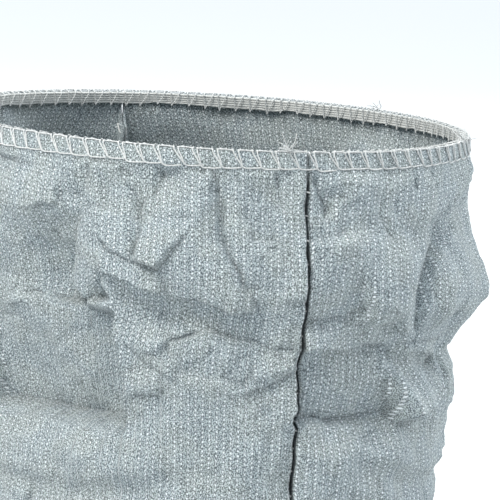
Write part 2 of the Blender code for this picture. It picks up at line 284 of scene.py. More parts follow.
FACETS = tuple(starmap(Facet, (
    ("bulge at the top left", (76, 5, 52.8, 6, 52, 13.3, 76, 15), 0.25, -0.08, 0.2),
    ("dull patch beside the bulge", (52.8, 5, 45.5, 4, 45, 14, 52, 13.3), -0.16, 0.1),
    ("left hollow", (76, 15, 52, 13.3, 46.5, 15, 49.8, 22, 76, 22), -0.3, 0.14, 0.6, 1.6),
    ("floor of the left hollow", (76, 22, 49.8, 22, 52.8, 29, 76, 30.5), -0.56, 0.2, -2.6, 1.6),
    ("wall beside the hollow", (46.5, 15, 42.4, 18.5, 40.8, 26, 47.8, 32.5, 52.5, 29.5), -0.1, -0.16, -0.4,
     1.6),
    ("strip under the hollow", (76, 30.5, 52.8, 29, 47.8, 32.5, 76, 34), -0.22, 0.22, -4.5, 1.6),
    ("lower left wall", (76, 34, 47.8, 32.5, 40.6, 34.5, 35.6, 50.5, 36, 58, 76, 58), -0.14, 0.06, -5.6,
     1.6),
    ("cloth over the first pillow", (45.5, 4, 39, 5, 39.2, 11.5, 41.8, 13, 45, 14), -0.3, 0),
    ("first pillow", (41.8, 13, 36.6, 11.5, 33.8, 15.5, 34.4, 22.8, 40, 21.5, 42.4, 18.5), 0.2, -0.05, 0.6),
    ("valley between the pillows", (39, 5, 30.9, 4, 32, 13.5, 33.8, 15.5, 36.6, 11.5, 39.2, 11.5), -0.06, 0,
     -0.5, 1.5),
    ("cloth over the second pillow", (30.9, 4, 20.8, 3.5, 21.8, 12.7, 32, 13.5), 0.2, -0.18, -1.2, 1.6),
    ("second pillow", (32, 13.5, 22.6, 13, 24.2, 16.5, 28.6, 23.4, 34.2, 22.6), 0.44, -0.14, 1.3),
    ("cloth under the pillows", (42.4, 21.5, 40, 21.5, 34.4, 22.8, 28.6, 23.5, 28.1, 28.5, 40.8, 26), 0.5,
     0, 1.5),
    ("slope right of the pillows", (28.6, 23.5, 24.2, 16.5, 22.6, 13, 21.8, 16.5, 16.6, 19.5, 14, 24.5, 9.4,
     32, 13.3, 32.5, 26.2, 29, 28.1, 28.5), 0.1, 0, 1.3),
    ("slope left of the long crease", (22.4, 7, 20.8, 3.5, 16.6, 10, 16.4, 19, 21.8, 16.5, 22.6, 13), -0.03,
     0.2, 0.2),
    ("ridge right of the long crease", (20.8, 3.5, 14, 4, 13.6, 7, 11.4, 21.5, 14, 24.5, 16.4, 19, 16.6,
     10), 0, -0.12),
    ("dull patch by the allowance", (14, 4, 6.5, 4, 6.2, 17.5, 12, 18), -0.12, 0.1, -0.3),
    ("pressed allowance", (6.5, 3.5, 0.6, 3.5, 0.6, 30, 6.2, 30), 0.04, -0.34, 0.3),
    ("end of the main sag", (47.8, 32.5, 43.4, 27.3, 40.8, 31.5), -1.1, 0.3, -1.7, 1.3),
    ("wedge under the main sag", (40.3, 34.5, 28.1, 37, 26.5, 39.2, 30.1, 41.5, 36.6, 41), 0.18, -0.05,
     0.4),
    ("lower bellow", (27, 39.5, 18.5, 36.8, 7.3, 40, 11.2, 47.5, 24.7, 46), -0.33, 0.05, 0.5),
    ("patch under the slant", (35.9, 45, 28.8, 44.5, 28.6, 50, 35.6, 50.5), 0.2, -0.1, 0.5),
    ("cloth over the seam tuck", (8.8, 39.5, 0.4, 40, 0.4, 44, 9.9, 46), 0.4, -0.1, 0.9, 1.6),
    ("top of the right side", (-1, 4.5, -38, 5.5, -37, 15.5, -10.9, 16.8, -1, 18), -0.12, 0, 0, 3),
    ("facet right of the seam", (-0.6, 18, -10.9, 16.8, -13.5, 27, -16, 33, -12, 35.5, -0.6, 35.5), -0.2,
     0.04, -0.6, 2),
    ("middle of the right side", (-10.9, 16.8, -37, 15.5, -35, 22, -31, 34, -30, 38.5, -18, 37.5, -16, 34,
     -13.5, 27), 0.08, 0.05, 0.4, 2.5),
    ("cloth under the right sag", (-0.6, 41.5, -24, 42, -27, 56, -0.6, 56), -0.36, -0.12, -1.2, 2),
    ("lower right belly", (-24.5, 42.5, -44, 45, -42, 54, -27, 56), 0.7, 0.2, 1.8, 2.5),
    ("pale strip over the right sag", (-1, 35.5, -12, 35.5, -24, 36, -27, 38.5, -12, 40.2, -1, 39), 0.4,
     0.15, 0.2, 1.6),
    ("right bulge", (-35, 22, -41.5, 14, -60, 15, -60, 34, -31, 34), 0.12, 0, -0.4, 3),
)))

PUFFS = tuple(starmap(Puff, (
    ("hollow left of the allowance", 10.6, 11.5, 3.2, 7, 0, -0.5),
    ("belly of the lower bellow", 21, 45, 8.5, 5, -8, 0.9),
    ("corner of the lower left wall", 33.2, 50, 3.6, 4.4, 20, 0.7),
    ("lower right belly", -38, 50, 9, 5, 0, 0.8),
    ("cloth beside the right slant", -40, 30, 4.2, 8, 14, 0.6),
)))


def smooth_step(value: Array, low: float, high: float) -> Array:
    """A smooth rise of value from 0 at low to 1 at high, which may lie below low."""
    t = np.clip((value - low) / (high - low), 0, 1)
    return t * t * (3 - 2 * t)


def unit(vectors: Array) -> Array:
    """The vectors at length one."""
    return vectors / np.maximum(np.linalg.norm(vectors, axis=-1, keepdims=True), 1e-12)


def run_along(points: Array) -> Array:
    """The way along a line at each of its points."""
    return np.concatenate([[0], np.cumsum(np.linalg.norm(np.diff(points, axis=0), axis=1))])


def pick(at: Array, run: Array, rows: Array) -> Array:
    """Rows at chosen places along a run, between its own rows."""
    return np.stack([np.interp(at, run, column) for column in rows.T], axis=1)


def value_noise(x: Array, y: Array, cell: float, seed: int) -> Array:
    """Smooth noise between -1 and 1 over a plane.

    Args:
        x: First coordinates.
        y: Second coordinates.
        cell: Size of a noise cell.
        seed: Seed of the lattice.

    Returns:
        One value for each point.
    """
    lattice = np.random.default_rng(seed).uniform(-1, 1, (127, 127))
    size = len(lattice)
    column, row = np.floor(x / cell).astype(int), np.floor(y / cell).astype(int)
    u, v = smooth_step(x / cell - column, 0, 1), smooth_step(y / cell - row, 0, 1)
    rows = []
    for r in (0, 1):
        near, far = (lattice[(row + r) % size, (column + c) % size] for c in (0, 1))
        rows.append(near * (1 - u) + far * u)
    return rows[0] * (1 - v) + rows[1] * v


@dataclass(frozen=True)
class CoverForm:
    """The cover's outer face before creasing, from its section and fold tables."""

    sole_length: float = 330.0
    ball_width: float = 122.0
    collar_height: float = 245.0
    foot_rise: float = 9.0
    fore_blend: tuple[float, float] = (0.2, 0.7)
    samples: int = 360

    def section_at(self, rise: float) -> Section:
        """The section at a height of its back end, on a smooth curve through the table.

        Args:
            rise: Height above the floor.

        Returns:
            The section between its neighbours in the table.
        """
        table = np.array([section[1:] for section in SECTIONS])
        knots = table[:, 2] / 100 * self.collar_height
        slopes = np.gradient(table, knots, axis=0)
        low = int(np.clip(np.searchsorted(knots, rise) - 1, 0, len(knots) - 2))
        span = knots[low + 1] - knots[low]
        t = (rise - knots[low]) / span
        row = ((2 * t**3 - 3 * t**2 + 1) * table[low] + (t**3 - 2 * t**2 + t) * span * slopes[low]
               + (3 * t**2 - 2 * t**3) * table[low + 1] + (t**3 - t**2) * span * slopes[low + 1])
        return Section("between", *row)

    def half_outline(self, rise: float) -> tuple[Array, Array, Array]:
        """The left half of a level outline, from the back seam to the front one.

        Args:
            rise: Height of its back end.

        Returns:
            Points, outward level normals, and the girth at each point.
        """
        section = self.section_at(rise)
        along = (1 - np.cos(np.linspace(0, math.pi, self.samples + 1))) / 2
        depth = (section.front - section.back) / 100 * self.sole_length
        fore = smooth_step(along, *self.fore_blend)
        width = (section.rear_width * (1 - fore) + section.fore_width * fore) / 200 * self.ball_width
        for distance, rounding in ((along, section.back_round), (1 - along, section.front_round)):
            inner = 1 - np.minimum(distance * depth / (rounding / 100 * self.sole_length), 1)
            width = width * np.sqrt(np.clip(1 - inner**2, 0, 1))
        climb = (section.front_rise - section.back_rise) / 100 * self.collar_height
        points = np.stack([(section.back / 100 - 0.5) * self.sole_length + depth * along, width,
                           rise + climb * along], axis=1)
        tangent = np.gradient(points, axis=0)
        normals = unit(np.stack([-tangent[:, 1], tangent[:, 0], 0 * along], axis=1))
        return points, normals, run_along(points)

    def grid(self, rises: Array, shares: Array, side: Side) -> tuple[Array, Array]:
        """Points of one side of the cover, with its broad folds.

        Args:
            rises: Heights of the rows.
            shares: Columns, as shares of the half girth from the back seam.
            side: Which side.

        Returns:
            Points by row and column, and the girth of each point from the back seam.
        """
        rows, girths = [], []
        turn = shares * 180.0 * side.value
        for rise in rises:
            points, normals, girth = self.half_outline(rise)
            depth = np.zeros_like(turn)
            for fold in FOLDS:
                off_turn = (turn - fold.turn + 180) % 360 - 180
                off_rise = rise / self.collar_height * 100 - fold.rise - fold.slant * off_turn
                apart = (off_turn / fold.turn_reach) ** 2 + (off_rise / fold.rise_reach) ** 2
                depth += fold.depth * np.exp(-apart)
            at = shares * girth[-1]
            rows.append(pick(at, girth, points) + unit(pick(at, girth, normals)) * depth[:, None])
            girths.append(at)
        return np.array(rows) * (1, side.value, 1), np.array(girths)

    def collar_half_girth(self) -> float:
        """Half the way round the collar."""
        return float(self.half_outline(self.collar_height)[2][-1])


@dataclass
class CrumpleMap:
    """Every crease and pillow of the cloth, as one height over girth and drop.

    Lengths, depths, reaches, drops and fades are pairs of ends. The creases at the back of the shaft are
    listed. So far folds keep out of the clear patch, given by its two girths and its drop, gathers
    are shallower over the gather stretch, and the ground is calmer inside the placed fades, which are the
    patch's edges below, at the right and at the left.
    front seams, and those below shallow_drop are half as deep. Waves, lumps and wander start with a size
    along the cloth. Then comes a height or a shift, and a lump's seed.
    """

    half_girth: float
    seed: int = 11
    falloff: float = 1.12
    tick_count: int = 620
    tick_length: tuple[float, float] = (3.0, 13.0)
    tick_depth: tuple[float, float] = (0.12, 0.4)
    tick_reach: tuple[float, float] = (0.8, 3.0)
    tick_bend: float = 0.4
    tick_chances: tuple[float, float] = (0.65, 0.35)
    far_count: int = 150
    far_drops: tuple[float, float] = (8.0, 215.0)
    far_length: tuple[float, float] = (10.0, 32.0)
    far_depth: tuple[float, float] = (0.4, 1.1)
    far_reaches: Pairs = ((3.0, 8.0), (2.0, 6.0))
    far_wall: tuple[float, float] = (0.6, 2.5)
    far_tilt: float = 0.7
    far_bow: float = 0.15
    seam_clearances: tuple[float, float] = (20.0, 6.0)
    shallow_drop: float = 150.0
    gather_pitch: float = 7.0
    gather_length: tuple[float, float] = (4.0, 13.0)
    gather_depth: tuple[float, float] = (0.25, 0.8)
    gather_reach: tuple[float, float] = (1.0, 3.2)
    gather_lean: float = 2.5
    gather_start: float = 2.6
    gather_stretch: tuple[float, float] = (-60.0, 76.0)
    clear_patch: tuple[float, float, float] = (-56.0, 74.0, 60.0)
    waves: Pairs = ((26.0, 0.5), (17.0, 0.36), (11.0, 0.26), (7.0, 0.18), (4.5, 0.12))
    lumps: tuple[tuple[float, float, int], ...] = ((9.0, 0.2, 3), (1.9, 0.1, 7))
    wander: Pairs = ((5.0, 0.7), (2.2, 0.3))
    wander_seeds: tuple[int, int] = (41, 61)
    placed_share: float = 0.8
    placed_fades: Pairs = ((62.0, 54.0), (-60.0, -50.0), (78.0, 68.0))
    foot_fade: tuple[float, float] = (90.0, 190.0)
    front_fade: tuple[float, float] = (0.5, 7.0)
    rim_fade: tuple[float, float] = (1.5, 6.0)

    def __post_init__(self) -> None:
        """Adds the small creases and the gathers of the hem to the listed ones."""
        self.rng = np.random.default_rng(self.seed)
        self.creases = list(CREASES)
        self.add_ticks()
        self.add_far_folds()
        self.add_gathers()

    def add_ticks(self) -> None:
        """Small sharp creases of crumpled cloth, all over the shaft and thinner on the foot."""
        draw = self.rng.uniform
        for _ in range(self.tick_count):
            middle = np.array([draw(-self.half_girth, self.half_girth), 5 + 205 * draw() ** 1.4])
            angle, length = draw(0, math.pi), draw(*self.tick_length)
            along = np.array([math.cos(angle), math.sin(angle)]) * length / 2
            bend = draw(-self.tick_bend, self.tick_bend) * np.array([-along[1], along[0]])
            path = (*(middle - along), *(middle + bend), *(middle + along))
            depth = self.rng.choice([-1, 1], p=self.tick_chances) * draw(*self.tick_depth)
            self.creases.append(Crease("tick", path, depth, draw(*self.tick_reach), depth * draw(0.2, 1),
                                       draw(*self.tick_reach)))

    def add_far_folds(self) -> None:
        """Middling folds where no crease is listed: the shaft's sides and front, and the foot."""
        draw = self.rng.uniform
        right, left, foot = self.clear_patch
        back, front = self.seam_clearances
        for _ in range(self.far_count):
            girth = self.rng.choice([-1, 1]) * draw(back, self.half_girth - front)
            middle = np.array([girth, draw(*self.far_drops)])
            angle, length = self.rng.normal(0, self.far_tilt), draw(*self.far_length)
            if middle[1] < foot and right < middle[0] < left:
                continue
            along = np.array([-math.cos(angle), math.sin(angle)]) * length / 2
            bow = np.array([0, draw(-self.far_bow, self.far_bow) * length])
            depth = draw(*self.far_depth) * (1 - 0.5 * (middle[1] > self.shallow_drop))
            path = (*(middle - along), *(middle + bow), *(middle + along))
            high, low = self.far_reaches
            self.creases.append(Crease("fold", path, depth * draw(-0.6, 1), draw(*high), -depth, draw(*low),
                                       draw(*self.far_wall)))

    def add_gathers(self) -> None:
        """Short troughs that run down from the hem where the elastic draws it in."""
        draw, top = self.rng.uniform, self.gather_start
        right, left = self.gather_stretch
        for index in range(int(2 * self.half_girth / self.gather_pitch)):
            girth = -self.half_girth + (index + draw(0.1, 0.9)) * self.gather_pitch
            length, lean = draw(*self.gather_length), draw(-self.gather_lean, self.gather_lean)
            path = (girth, top, girth + lean * 0.4, top + length / 2, girth + lean, top + length)
            depth = -draw(*self.gather_depth) * (0.5 if right < girth < left else 1.0)
            self.creases.append(Crease("gather", path, depth, draw(*self.gather_reach), depth,
                                       draw(*self.gather_reach)))

    def height(self, girth: Array, drop: Array) -> Array:
        """How far the cloth stands out from its smooth form.

        Args:
            girth: Girths at the collar.
            drop: Drops below the rim, in the same shape.

        Returns:
            The heights.
        """
        spots = np.stack([girth.ravel(), drop.ravel()])
        total = self.ground(*spots)
        bent = spots.copy()
        for number, (cell, shift) in enumerate(self.wander):
            for way, seed in zip(bent, self.wander_seeds):
                way += shift * value_noise(*spots, cell, seed + number)
        for crease in self.creases:
            self.add_crease(crease, bent, total)
        for facet in FACETS:
            self.add_facet(facet, bent, total)
        for puff in PUFFS:
            cosine, sine = math.cos(math.radians(puff.tilt)), math.sin(math.radians(puff.tilt))
            x, y = bent[0] - puff.girth, bent[1] - puff.drop
            u, v = (x * cosine + y * sine) / puff.half_girth, (-x * sine + y * cosine) / puff.half_drop
            total += puff.height * np.exp(-((u * u + v * v) ** 2))
        front = smooth_step(self.half_girth - np.abs(spots[0]), *self.front_fade)
        rim = 0.25 + 0.75 * smooth_step(spots[1], *self.rim_fade)
        return (total * front * rim).reshape(girth.shape)

    def ground(self, girth: Array, drop: Array) -> Array:
        """The cloth's unevenness between its creases: flat facets with sharp edges, and small lumps.

        Args:
            girth: Girths of the points.
            drop: Drops of the points.

        Returns:
            The heights.
        """
        rng = np.random.default_rng(self.seed + 1)
        total = sum(height * value_noise(girth, drop, cell, seed) for cell, height, seed in self.lumps)
        for length, height in self.waves:
            for _ in range(2):
                angle, phase = rng.uniform(0, math.pi), rng.uniform()
                seeds = rng.integers(1, 9999, 2)
                bent = 0.4 * value_noise(girth, drop, length * 1.3, seeds[0])
                wave = (girth * math.cos(angle) + drop * math.sin(angle)) / length + phase + bent
                shown = smooth_step(value_noise(girth, drop, length * 1.6, seeds[1]), -0.3, 0.4)
                total += height * shown * (4 * np.abs(wave - np.floor(wave) - 0.5) - 1)
        below, right, left = self.placed_fades
        placed = smooth_step(drop, *below) * smooth_step(girth, *right) * smooth_step(girth, *left)
        foot = 1 - 0.4 * smooth_step(drop, *self.foot_fade)
        return total * foot * (1 - (1 - self.placed_share) * placed)

    @staticmethod
    def boxed(spots: Array, corners: Array, margin: float) -> Array:
        """Numbers of the spots in the box round some corners."""
        (left, top), (right, foot) = corners.min(axis=0) - margin, corners.max(axis=0) + margin
        return np.flatnonzero((spots[0] > left) & (spots[0] < right) & (spots[1] > top) & (spots[1] < foot))

    def add_crease(self, crease: Crease, spots: Array, total: Array) -> None:
        """Adds one crease to the heights near it.

        Args:
            crease: The crease.
            spots: Girths and drops of all points.
            total: Heights so far, changed in place.
        """
        path = np.reshape(crease.path, (-1, 2)).astype(float)
        near = self.boxed(spots, path, max(crease.left_reach, crease.right_reach))
        points = spots[:, near].T.copy()
        lengths = np.linalg.norm(np.diff(path, axis=0), axis=1)
        starts = np.concatenate([[0], np.cumsum(lengths)])
        best = np.full(len(near), np.inf)
        turned, along = np.zeros(len(near)), np.zeros(len(near))
        for start, end, length, begun in zip(path, path[1:], lengths, starts):
            run = (end - start) / length
            offset = points - start
            reached = np.clip(offset @ run, 0, length)
            away = np.linalg.norm(offset - reached[:, None] * run, axis=1)
            closer = away < best
            best[closer] = away[closer]
            along[closer] = (begun + reached[closer]) / starts[-1]
            turned[closer] = np.sign(offset @ np.array([-run[1], run[0]]))[closer]
        sides = [height * np.clip(1 - best / reach, 0, 1) ** self.falloff
                 for height, reach in ((crease.left, crease.left_reach), (crease.right, crease.right_reach))]
        share = np.clip(best * turned / crease.wall + 0.5, 0, 1)
        taper = smooth_step(along, -0.12, 0.22) * smooth_step(along, 1.12, 0.78)
        total[near] += taper * (sides[0] * share + sides[1] * (1 - share))

    def add_facet(self, facet: Facet, spots: Array, total: Array) -> None:
        """Adds one flat patch to the heights inside it.

        Args:
            facet: The patch.
            spots: Girths and drops of all points.
            total: Heights so far, changed in place.
        """
        corners = np.reshape(facet.corners, (-1, 2)).astype(float)
        near = self.boxed(spots, corners, facet.edge)
        points = spots[:, near].T.copy()
        away, inside = np.full(len(near), np.inf), np.zeros(len(near), bool)
        for start, end in zip(corners, np.roll(corners, -1, axis=0)):
            side, offset = end - start, points - start
            share = np.clip(offset @ side / (side @ side), 0, 1)
            away = np.minimum(away, np.linalg.norm(offset - share[:, None] * side, axis=1))
            crosses = (start[1] > points[:, 1]) != (end[1] > points[:, 1])
            if side[1]:
                inside ^= crosses & (offset[:, 0] < side[0] * offset[:, 1] / side[1])
        plane = facet.lift + (points - corners.mean(axis=0)) @ np.array([facet.left, facet.down])
        total[near] += plane * np.clip(0.5 + np.where(inside, away, -away) / facet.edge, 0, 1)


class NodeBench:
    """Adds shader nodes to one new material or world and joins them."""

    def __init__(self, owner: Union[Material, bpy.types.World]) -> None:
        """Starts the owner's node tree."""
        owner.use_nodes = True
        self.owner, self.tree = owner, owner.node_tree

    def feed(self, socket: Socket, value: Feed) -> None:
        """Links a socket into another, or sets a constant on it.

        Args:
            socket: The socket that is fed.
            value: The other socket, or the constant.
        """
        if isinstance(value, bpy.types.NodeSocket):
            self.tree.links.new(value, socket)
        else:
            socket.default_value = value

    def add(self, kind: str, output: Union[int, str], feeds: dict, **settings: object) -> Socket:
        """Adds a node.

        Args:
            kind: The node's type, without the start that all have.
            output: Name or number of the output that is wanted.
            feeds: What goes into its inputs, by name or number.
            settings: Attributes to set on it.

        Returns:
            The output.
        """
        made = self.tree.nodes.new("ShaderNode" + kind)
        for name, value in settings.items():
            setattr(made, name, value)
        for name, value in feeds.items():
            self.feed(made.inputs[name], value)
        return made.outputs[output]

    def math(self, operation: str, *values: Feed) -> Socket:
        """One step of arithmetic."""
        return self.add("Math", 0, dict(enumerate(values)), operation=operation)

    def vector(self, operation: str, *values: Feed) -> Socket:
        """One step of vector arithmetic, of which LENGTH alone gives a number."""
        output = "Value" if operation == "LENGTH" else "Vector"
        return self.add("VectorMath", output, dict(enumerate(values)), operation=operation)

    def uv(self, name: str) -> Socket:
        """The coordinates of a UV map."""
        return self.add("UVMap", "UV", {}, uv_map=name)

    def place(self, scale: float) -> Socket:
        """Object coordinates times a scale."""
        return self.vector("MULTIPLY", self.add("TexCoord", "Object", {}), (scale, scale, scale))

    def noise(self, where: Socket, scale: float, detail: float = 2.0, roughness: float = 0.5) -> Socket:
        """Noise about 0.5, of as many octaves as detail, each a share of the last."""
        feeds = {"Vector": where, "Scale": scale, "Detail": detail, "Roughness": roughness}
        return self.add("TexNoise", "Fac", feeds, noise_dimensions="3D")

    def ramp(self, value: Socket, low: float, high: float, to_low: float, to_high: float) -> Socket:
        """A smooth map of a value from the range low to high to another."""
        feeds = {"Value": value, "From Min": low, "From Max": high, "To Min": to_low, "To Max": to_high}
        return self.add("MapRange", "Result", feeds, interpolation_type="SMOOTHSTEP")

    def mix(self, share: Feed, first: Feed, second: Feed) -> Socket:
        """A mix of two colours, with this share of the second."""
        return self.add("Mix", 2, {0: share, 6: first, 7: second}, data_type="RGBA")

    def bump(self, height: Socket, distance: float, **under: Socket) -> Socket:
        """A normal bent by a height of which 1 is a distance, over a Normal that is already bent."""
        return self.add("Bump", "Normal", {"Height": height, "Distance": distance * MM, **under})

    def finish(self, shader: str = "Principled BSDF", **sockets: Feed) -> Union[Material, bpy.types.World]:
        """Sets or links the shader's sockets.

        Args:
            shader: The shader's name in a new tree.
            sockets: Constants and links, named with _ for a space.

        Returns:
            The material or world.
        """
        for name, value in sockets.items():
            self.feed(self.tree.nodes[shader].inputs[name.replace("_", " ")], value)
        return self.owner


def srgb(red: float, green: float, blue: float) -> tuple[float, float, float, float]:
    """A linear colour from a display colour of 0 to 255."""
    return (*(((v / 255 + 0.055) / 1.055) ** 2.4 for v in (red, green, blue)), 1.0)


@dataclass(frozen=True)
class ClothFinish:
    """Matt grey nonwoven: speckled fibres, and pale raised dots in upright rows."""

    name: str = "embossed_nonwoven"
    uv_map: str = "cloth_mm"
    # Point attribute that holds the painted shade of sharp creases and of the seams' gaps.
    painted_shade_map: str = "trough"
    fibre_dark: tuple = srgb(46, 54, 57)
    fibre_light: tuple = srgb(208, 219, 222)
    dot_colour: tuple = srgb(240, 247, 251)
    warm: tuple = srgb(144, 154, 152)
    cool: tuple = srgb(132, 147, 154)
    dot_pitch: tuple[float, float] = (1.78, 0.98)
    dot_core: float = 0.15
    dot_radius: float = 0.305
    ring_radius: float = 0.46
    dot_strength: tuple[float, float] = (0.6, 0.94)
    full_chance: float = 0.9
    wander_scale: float = 0.16
    wander: float = 0.35
    stray: float = 0.04
    grain_scale: float = 4.2
    grain_reach: float = 0.13
    grain_spread: float = 0.165
    cloud_scale: float = 0.15
    cloud_range: tuple[float, float] = (0.38, 0.62)
    roughness: tuple[float, float] = (0.95, 0.75)
    tint_share: float = 0.32
    # How far the dots' rings and the painted shade of creases and seams' gaps draw the colour to the fibres'
    # dark.
    dark_share: float = 0.3
    dot_height: float = 0.13
    fibre_height: float = 0.075

    def dots(self, bench: NodeBench) -> tuple[Socket, Socket]:
        """The raised dots, from 0 between them to 1 on the best of them, and a darker ring round each.

        Args:
            bench: The material's nodes.

        Returns:
            The dots' height and how dark the rings are.
        """
        uv = bench.uv(self.uv_map)
        middle, pitch = (0.5, 0.5, 0.5), self.dot_pitch
        feeds = {"Vector": uv, "Scale": self.wander_scale}
        drift = bench.add("TexNoise", "Color", feeds, noise_dimensions="2D")
        shift = bench.vector("MULTIPLY", bench.vector("SUBTRACT", drift, middle), (self.wander,) * 3)
        lattice = bench.vector("DIVIDE", bench.vector("ADD", uv, shift), (*pitch, 1.0))
        inside = bench.vector("SUBTRACT", bench.vector("FRACTION", lattice), (0.5, 0.5, 0.0))
        cell = bench.vector("FLOOR", lattice)
        chance = bench.add("TexWhiteNoise", "Value", {"Vector": cell}, noise_dimensions="2D")
        stray = bench.vector("SUBTRACT", chance.node.outputs["Color"], middle)
        offset = bench.vector("ADD", inside, bench.vector("MULTIPLY", stray, (self.stray,) * 3))
        away = bench.vector("LENGTH", bench.vector("MULTIPLY", offset, (*pitch, 0.0)))
        strength = bench.ramp(chance, 0.0, self.full_chance, *self.dot_strength)
        dot = bench.ramp(away, self.dot_core, self.dot_radius, 1.0, 0.0)
        ring = bench.ramp(away, self.dot_radius, self.ring_radius, 1.0, 0.0)
        return bench.math("MULTIPLY", dot, strength), ring

    def grain(self, bench: NodeBench, place: Socket) -> Socket:
        """The fibres' fine grain: a noise less its own mean round about, so that it has no blotches.

        Args:
            bench: The material's nodes.
            place: Coordinates in millimetres.

        Returns:
            Values from 0 to 1.
        """
        rest = bench.noise(place, self.grain_scale, 0.0)
        for way in ((1, 1, 1), (1, -1, -1), (-1, 1, -1), (-1, -1, 1)):
            moved = bench.vector("ADD", place, tuple(self.grain_reach * step for step in way))
            rest = bench.math("MULTIPLY_ADD", bench.noise(moved, self.grain_scale, 0.0), -0.25, rest)
        return bench.ramp(rest, -self.grain_spread, self.grain_spread, 0.0, 1.0)

    def material(self) -> Material:
        """Fibres in two tints, with a darker ring round each pale dot, and painted shade in creases and in
        the seams' gaps.

        Returns:
            The cloth's material.
        """
        bench = NodeBench(bpy.data.materials.new(self.name))
        dot, ring = self.dots(bench)
        place = bench.place(1 / MM)
        speck = self.grain(bench, place)
        cloud = bench.noise(place, self.cloud_scale, 1.0)
        fibres = bench.mix(speck, self.fibre_dark, self.fibre_light)
        tint = bench.mix(bench.ramp(cloud, *self.cloud_range, 0.0, 1.0), self.cool, self.warm)
        colour = bench.mix(self.tint_share, fibres, tint)
        trough = bench.add("Attribute", "Fac", {}, attribute_name=self.painted_shade_map)
        # A darker ring painted round each dot.
        colour = bench.mix(bench.math("MULTIPLY", ring, self.dark_share), colour, self.fibre_dark)
        colour = bench.mix(dot, colour, self.dot_colour)
        # Painted shade: the colour is drawn towards the fibres' dark in sharp creases and in the seams' gaps.
        colour = bench.mix(bench.math("MULTIPLY", trough, self.dark_share), colour, self.fibre_dark)
        rough = bench.ramp(speck, 0.0, 1.0, *self.roughness)
        normal = bench.bump(dot, self.dot_height, Normal=bench.bump(speck, self.fibre_height))
        return bench.finish(Base_Color=colour, Roughness=rough, Normal=normal, Sheen_Weight=0.1,
                            Sheen_Roughness=0.6, Specular_IOR_Level=0.25)


@dataclass(frozen=True)
class ThreadFinish:
    """White spun sewing thread of two twisted plies."""

    name: str = "spun_thread"
    uv_map: str = "thread_mm"
    white: tuple = srgb(226, 228, 227)
    shade: tuple = srgb(188, 193, 195)
    ply_pitch: float = 0.8
    ply_height: float = 0.07
    hair_height: float = 0.03
    hair_noise: tuple[float, float, float] = (7.0, 3.0, 0.6)
    hair_range: tuple[float, float] = (0.3, 0.7)
    roughness: tuple[float, float] = (0.75, 0.95)

    def material(self) -> Material:
        """Two plies twisted together, with fine hairs.

        Returns:
            The thread's material.
        """
        bench = NodeBench(bpy.data.materials.new(self.name))
        along = bench.add("SeparateXYZ", "X", {0: bench.uv(self.uv_map)})
        round_about = bench.math("MULTIPLY", along.node.outputs["Y"], 2 * TURN)
        turn = bench.math("MULTIPLY_ADD", along, TURN / self.ply_pitch, round_about)
        ply = bench.math("MULTIPLY_ADD", bench.math("SINE", turn), 0.5, 0.5)
        hair = bench.noise(bench.place(1 / MM), *self.hair_noise)
        colour = bench.mix(bench.math("MULTIPLY", ply, hair), self.white, self.shade)
        rough = bench.ramp(hair, *self.hair_range, *self.roughness)
        normal = bench.bump(hair, self.hair_height, Normal=bench.bump(ply, self.ply_height))
        return bench.finish(Base_Color=colour, Roughness=rough, Normal=normal, Sheen_Weight=0.2,
                            Sheen_Roughness=0.5, Specular_IOR_Level=0.3)


@dataclass(frozen=True)
class ElasticFinish:
    """White ribbed elastic braid."""

    name: str = "elastic_braid"
    uv_map: str = "braid_mm"
    white: tuple = srgb(228, 229, 226)
    shade: tuple = srgb(188, 192, 191)
    yarn_height: float = 0.06
    yarn_noise: tuple[float, float, float] = (3.5, 3.0, 0.65)
    yarn_range: tuple[float, float] = (0.3, 0.7)
    roughness: tuple[float, float] = (0.9, 0.7)

    def material(self) -> Material:
        """Yarns that are shaded and raised by one noise.

        Returns:
            The braid's material.
        """
        bench = NodeBench(bpy.data.materials.new(self.name))
        yarn = bench.noise(bench.place(1 / MM), *self.yarn_noise)
        colour = bench.mix(bench.ramp(yarn, *self.yarn_range, 0.0, 1.0), self.shade, self.white)
        rough = bench.ramp(yarn, *self.yarn_range, *self.roughness)
        return bench.finish(Base_Color=colour, Roughness=rough, Normal=bench.bump(yarn, self.yarn_height),
                            Sheen_Weight=0.15, Specular_IOR_Level=0.3)


@dataclass(frozen=True)
class SoleFinish:
    """Dark grey coated sheet with a fine pebbled grip."""

    name: str = "coated_sheet"
    uv_map: str = "sheet_mm"
    grey: tuple = srgb(104, 115, 121)
    dark: tuple = srgb(84, 94, 100)
    pebble: float = 1.5
    pebble_height: float = 0.16
    pebble_range: tuple[float, float] = (0.15, 0.6)
    pebble_share: float = 0.35
    wear_noise: tuple[float, float, float] = (0.05, 4.0, 0.6)
    wear_range: tuple[float, float] = (0.35, 0.7)
    roughness: tuple[float, float] = (0.68, 0.5)

    def material(self) -> Material:
        """Raised pebbles on a sheet that is worn in patches.

        Returns:
            The sheet's material.
        """
        bench = NodeBench(bpy.data.materials.new(self.name))
        place = bench.place(1 / MM)
        feeds = {"Vector": place, "Scale": 1 / self.pebble}
        cells = bench.add("TexVoronoi", "Distance", feeds, feature="SMOOTH_F1")
        pebble = bench.ramp(cells, *self.pebble_range, 1.0, 0.0)
        cloud = bench.ramp(bench.noise(place, *self.wear_noise), *self.wear_range, 0.0, 1.0)
        worn = bench.mix(cloud, self.grey, self.dark)
        colour = bench.mix(bench.math("MULTIPLY", pebble, self.pebble_share), self.dark, worn)
        return bench.finish(Base_Color=colour, Roughness=bench.ramp(pebble, 0.0, 1.0, *self.roughness),
                            Normal=bench.bump(pebble, self.pebble_height), Specular_IOR_Level=0.4)


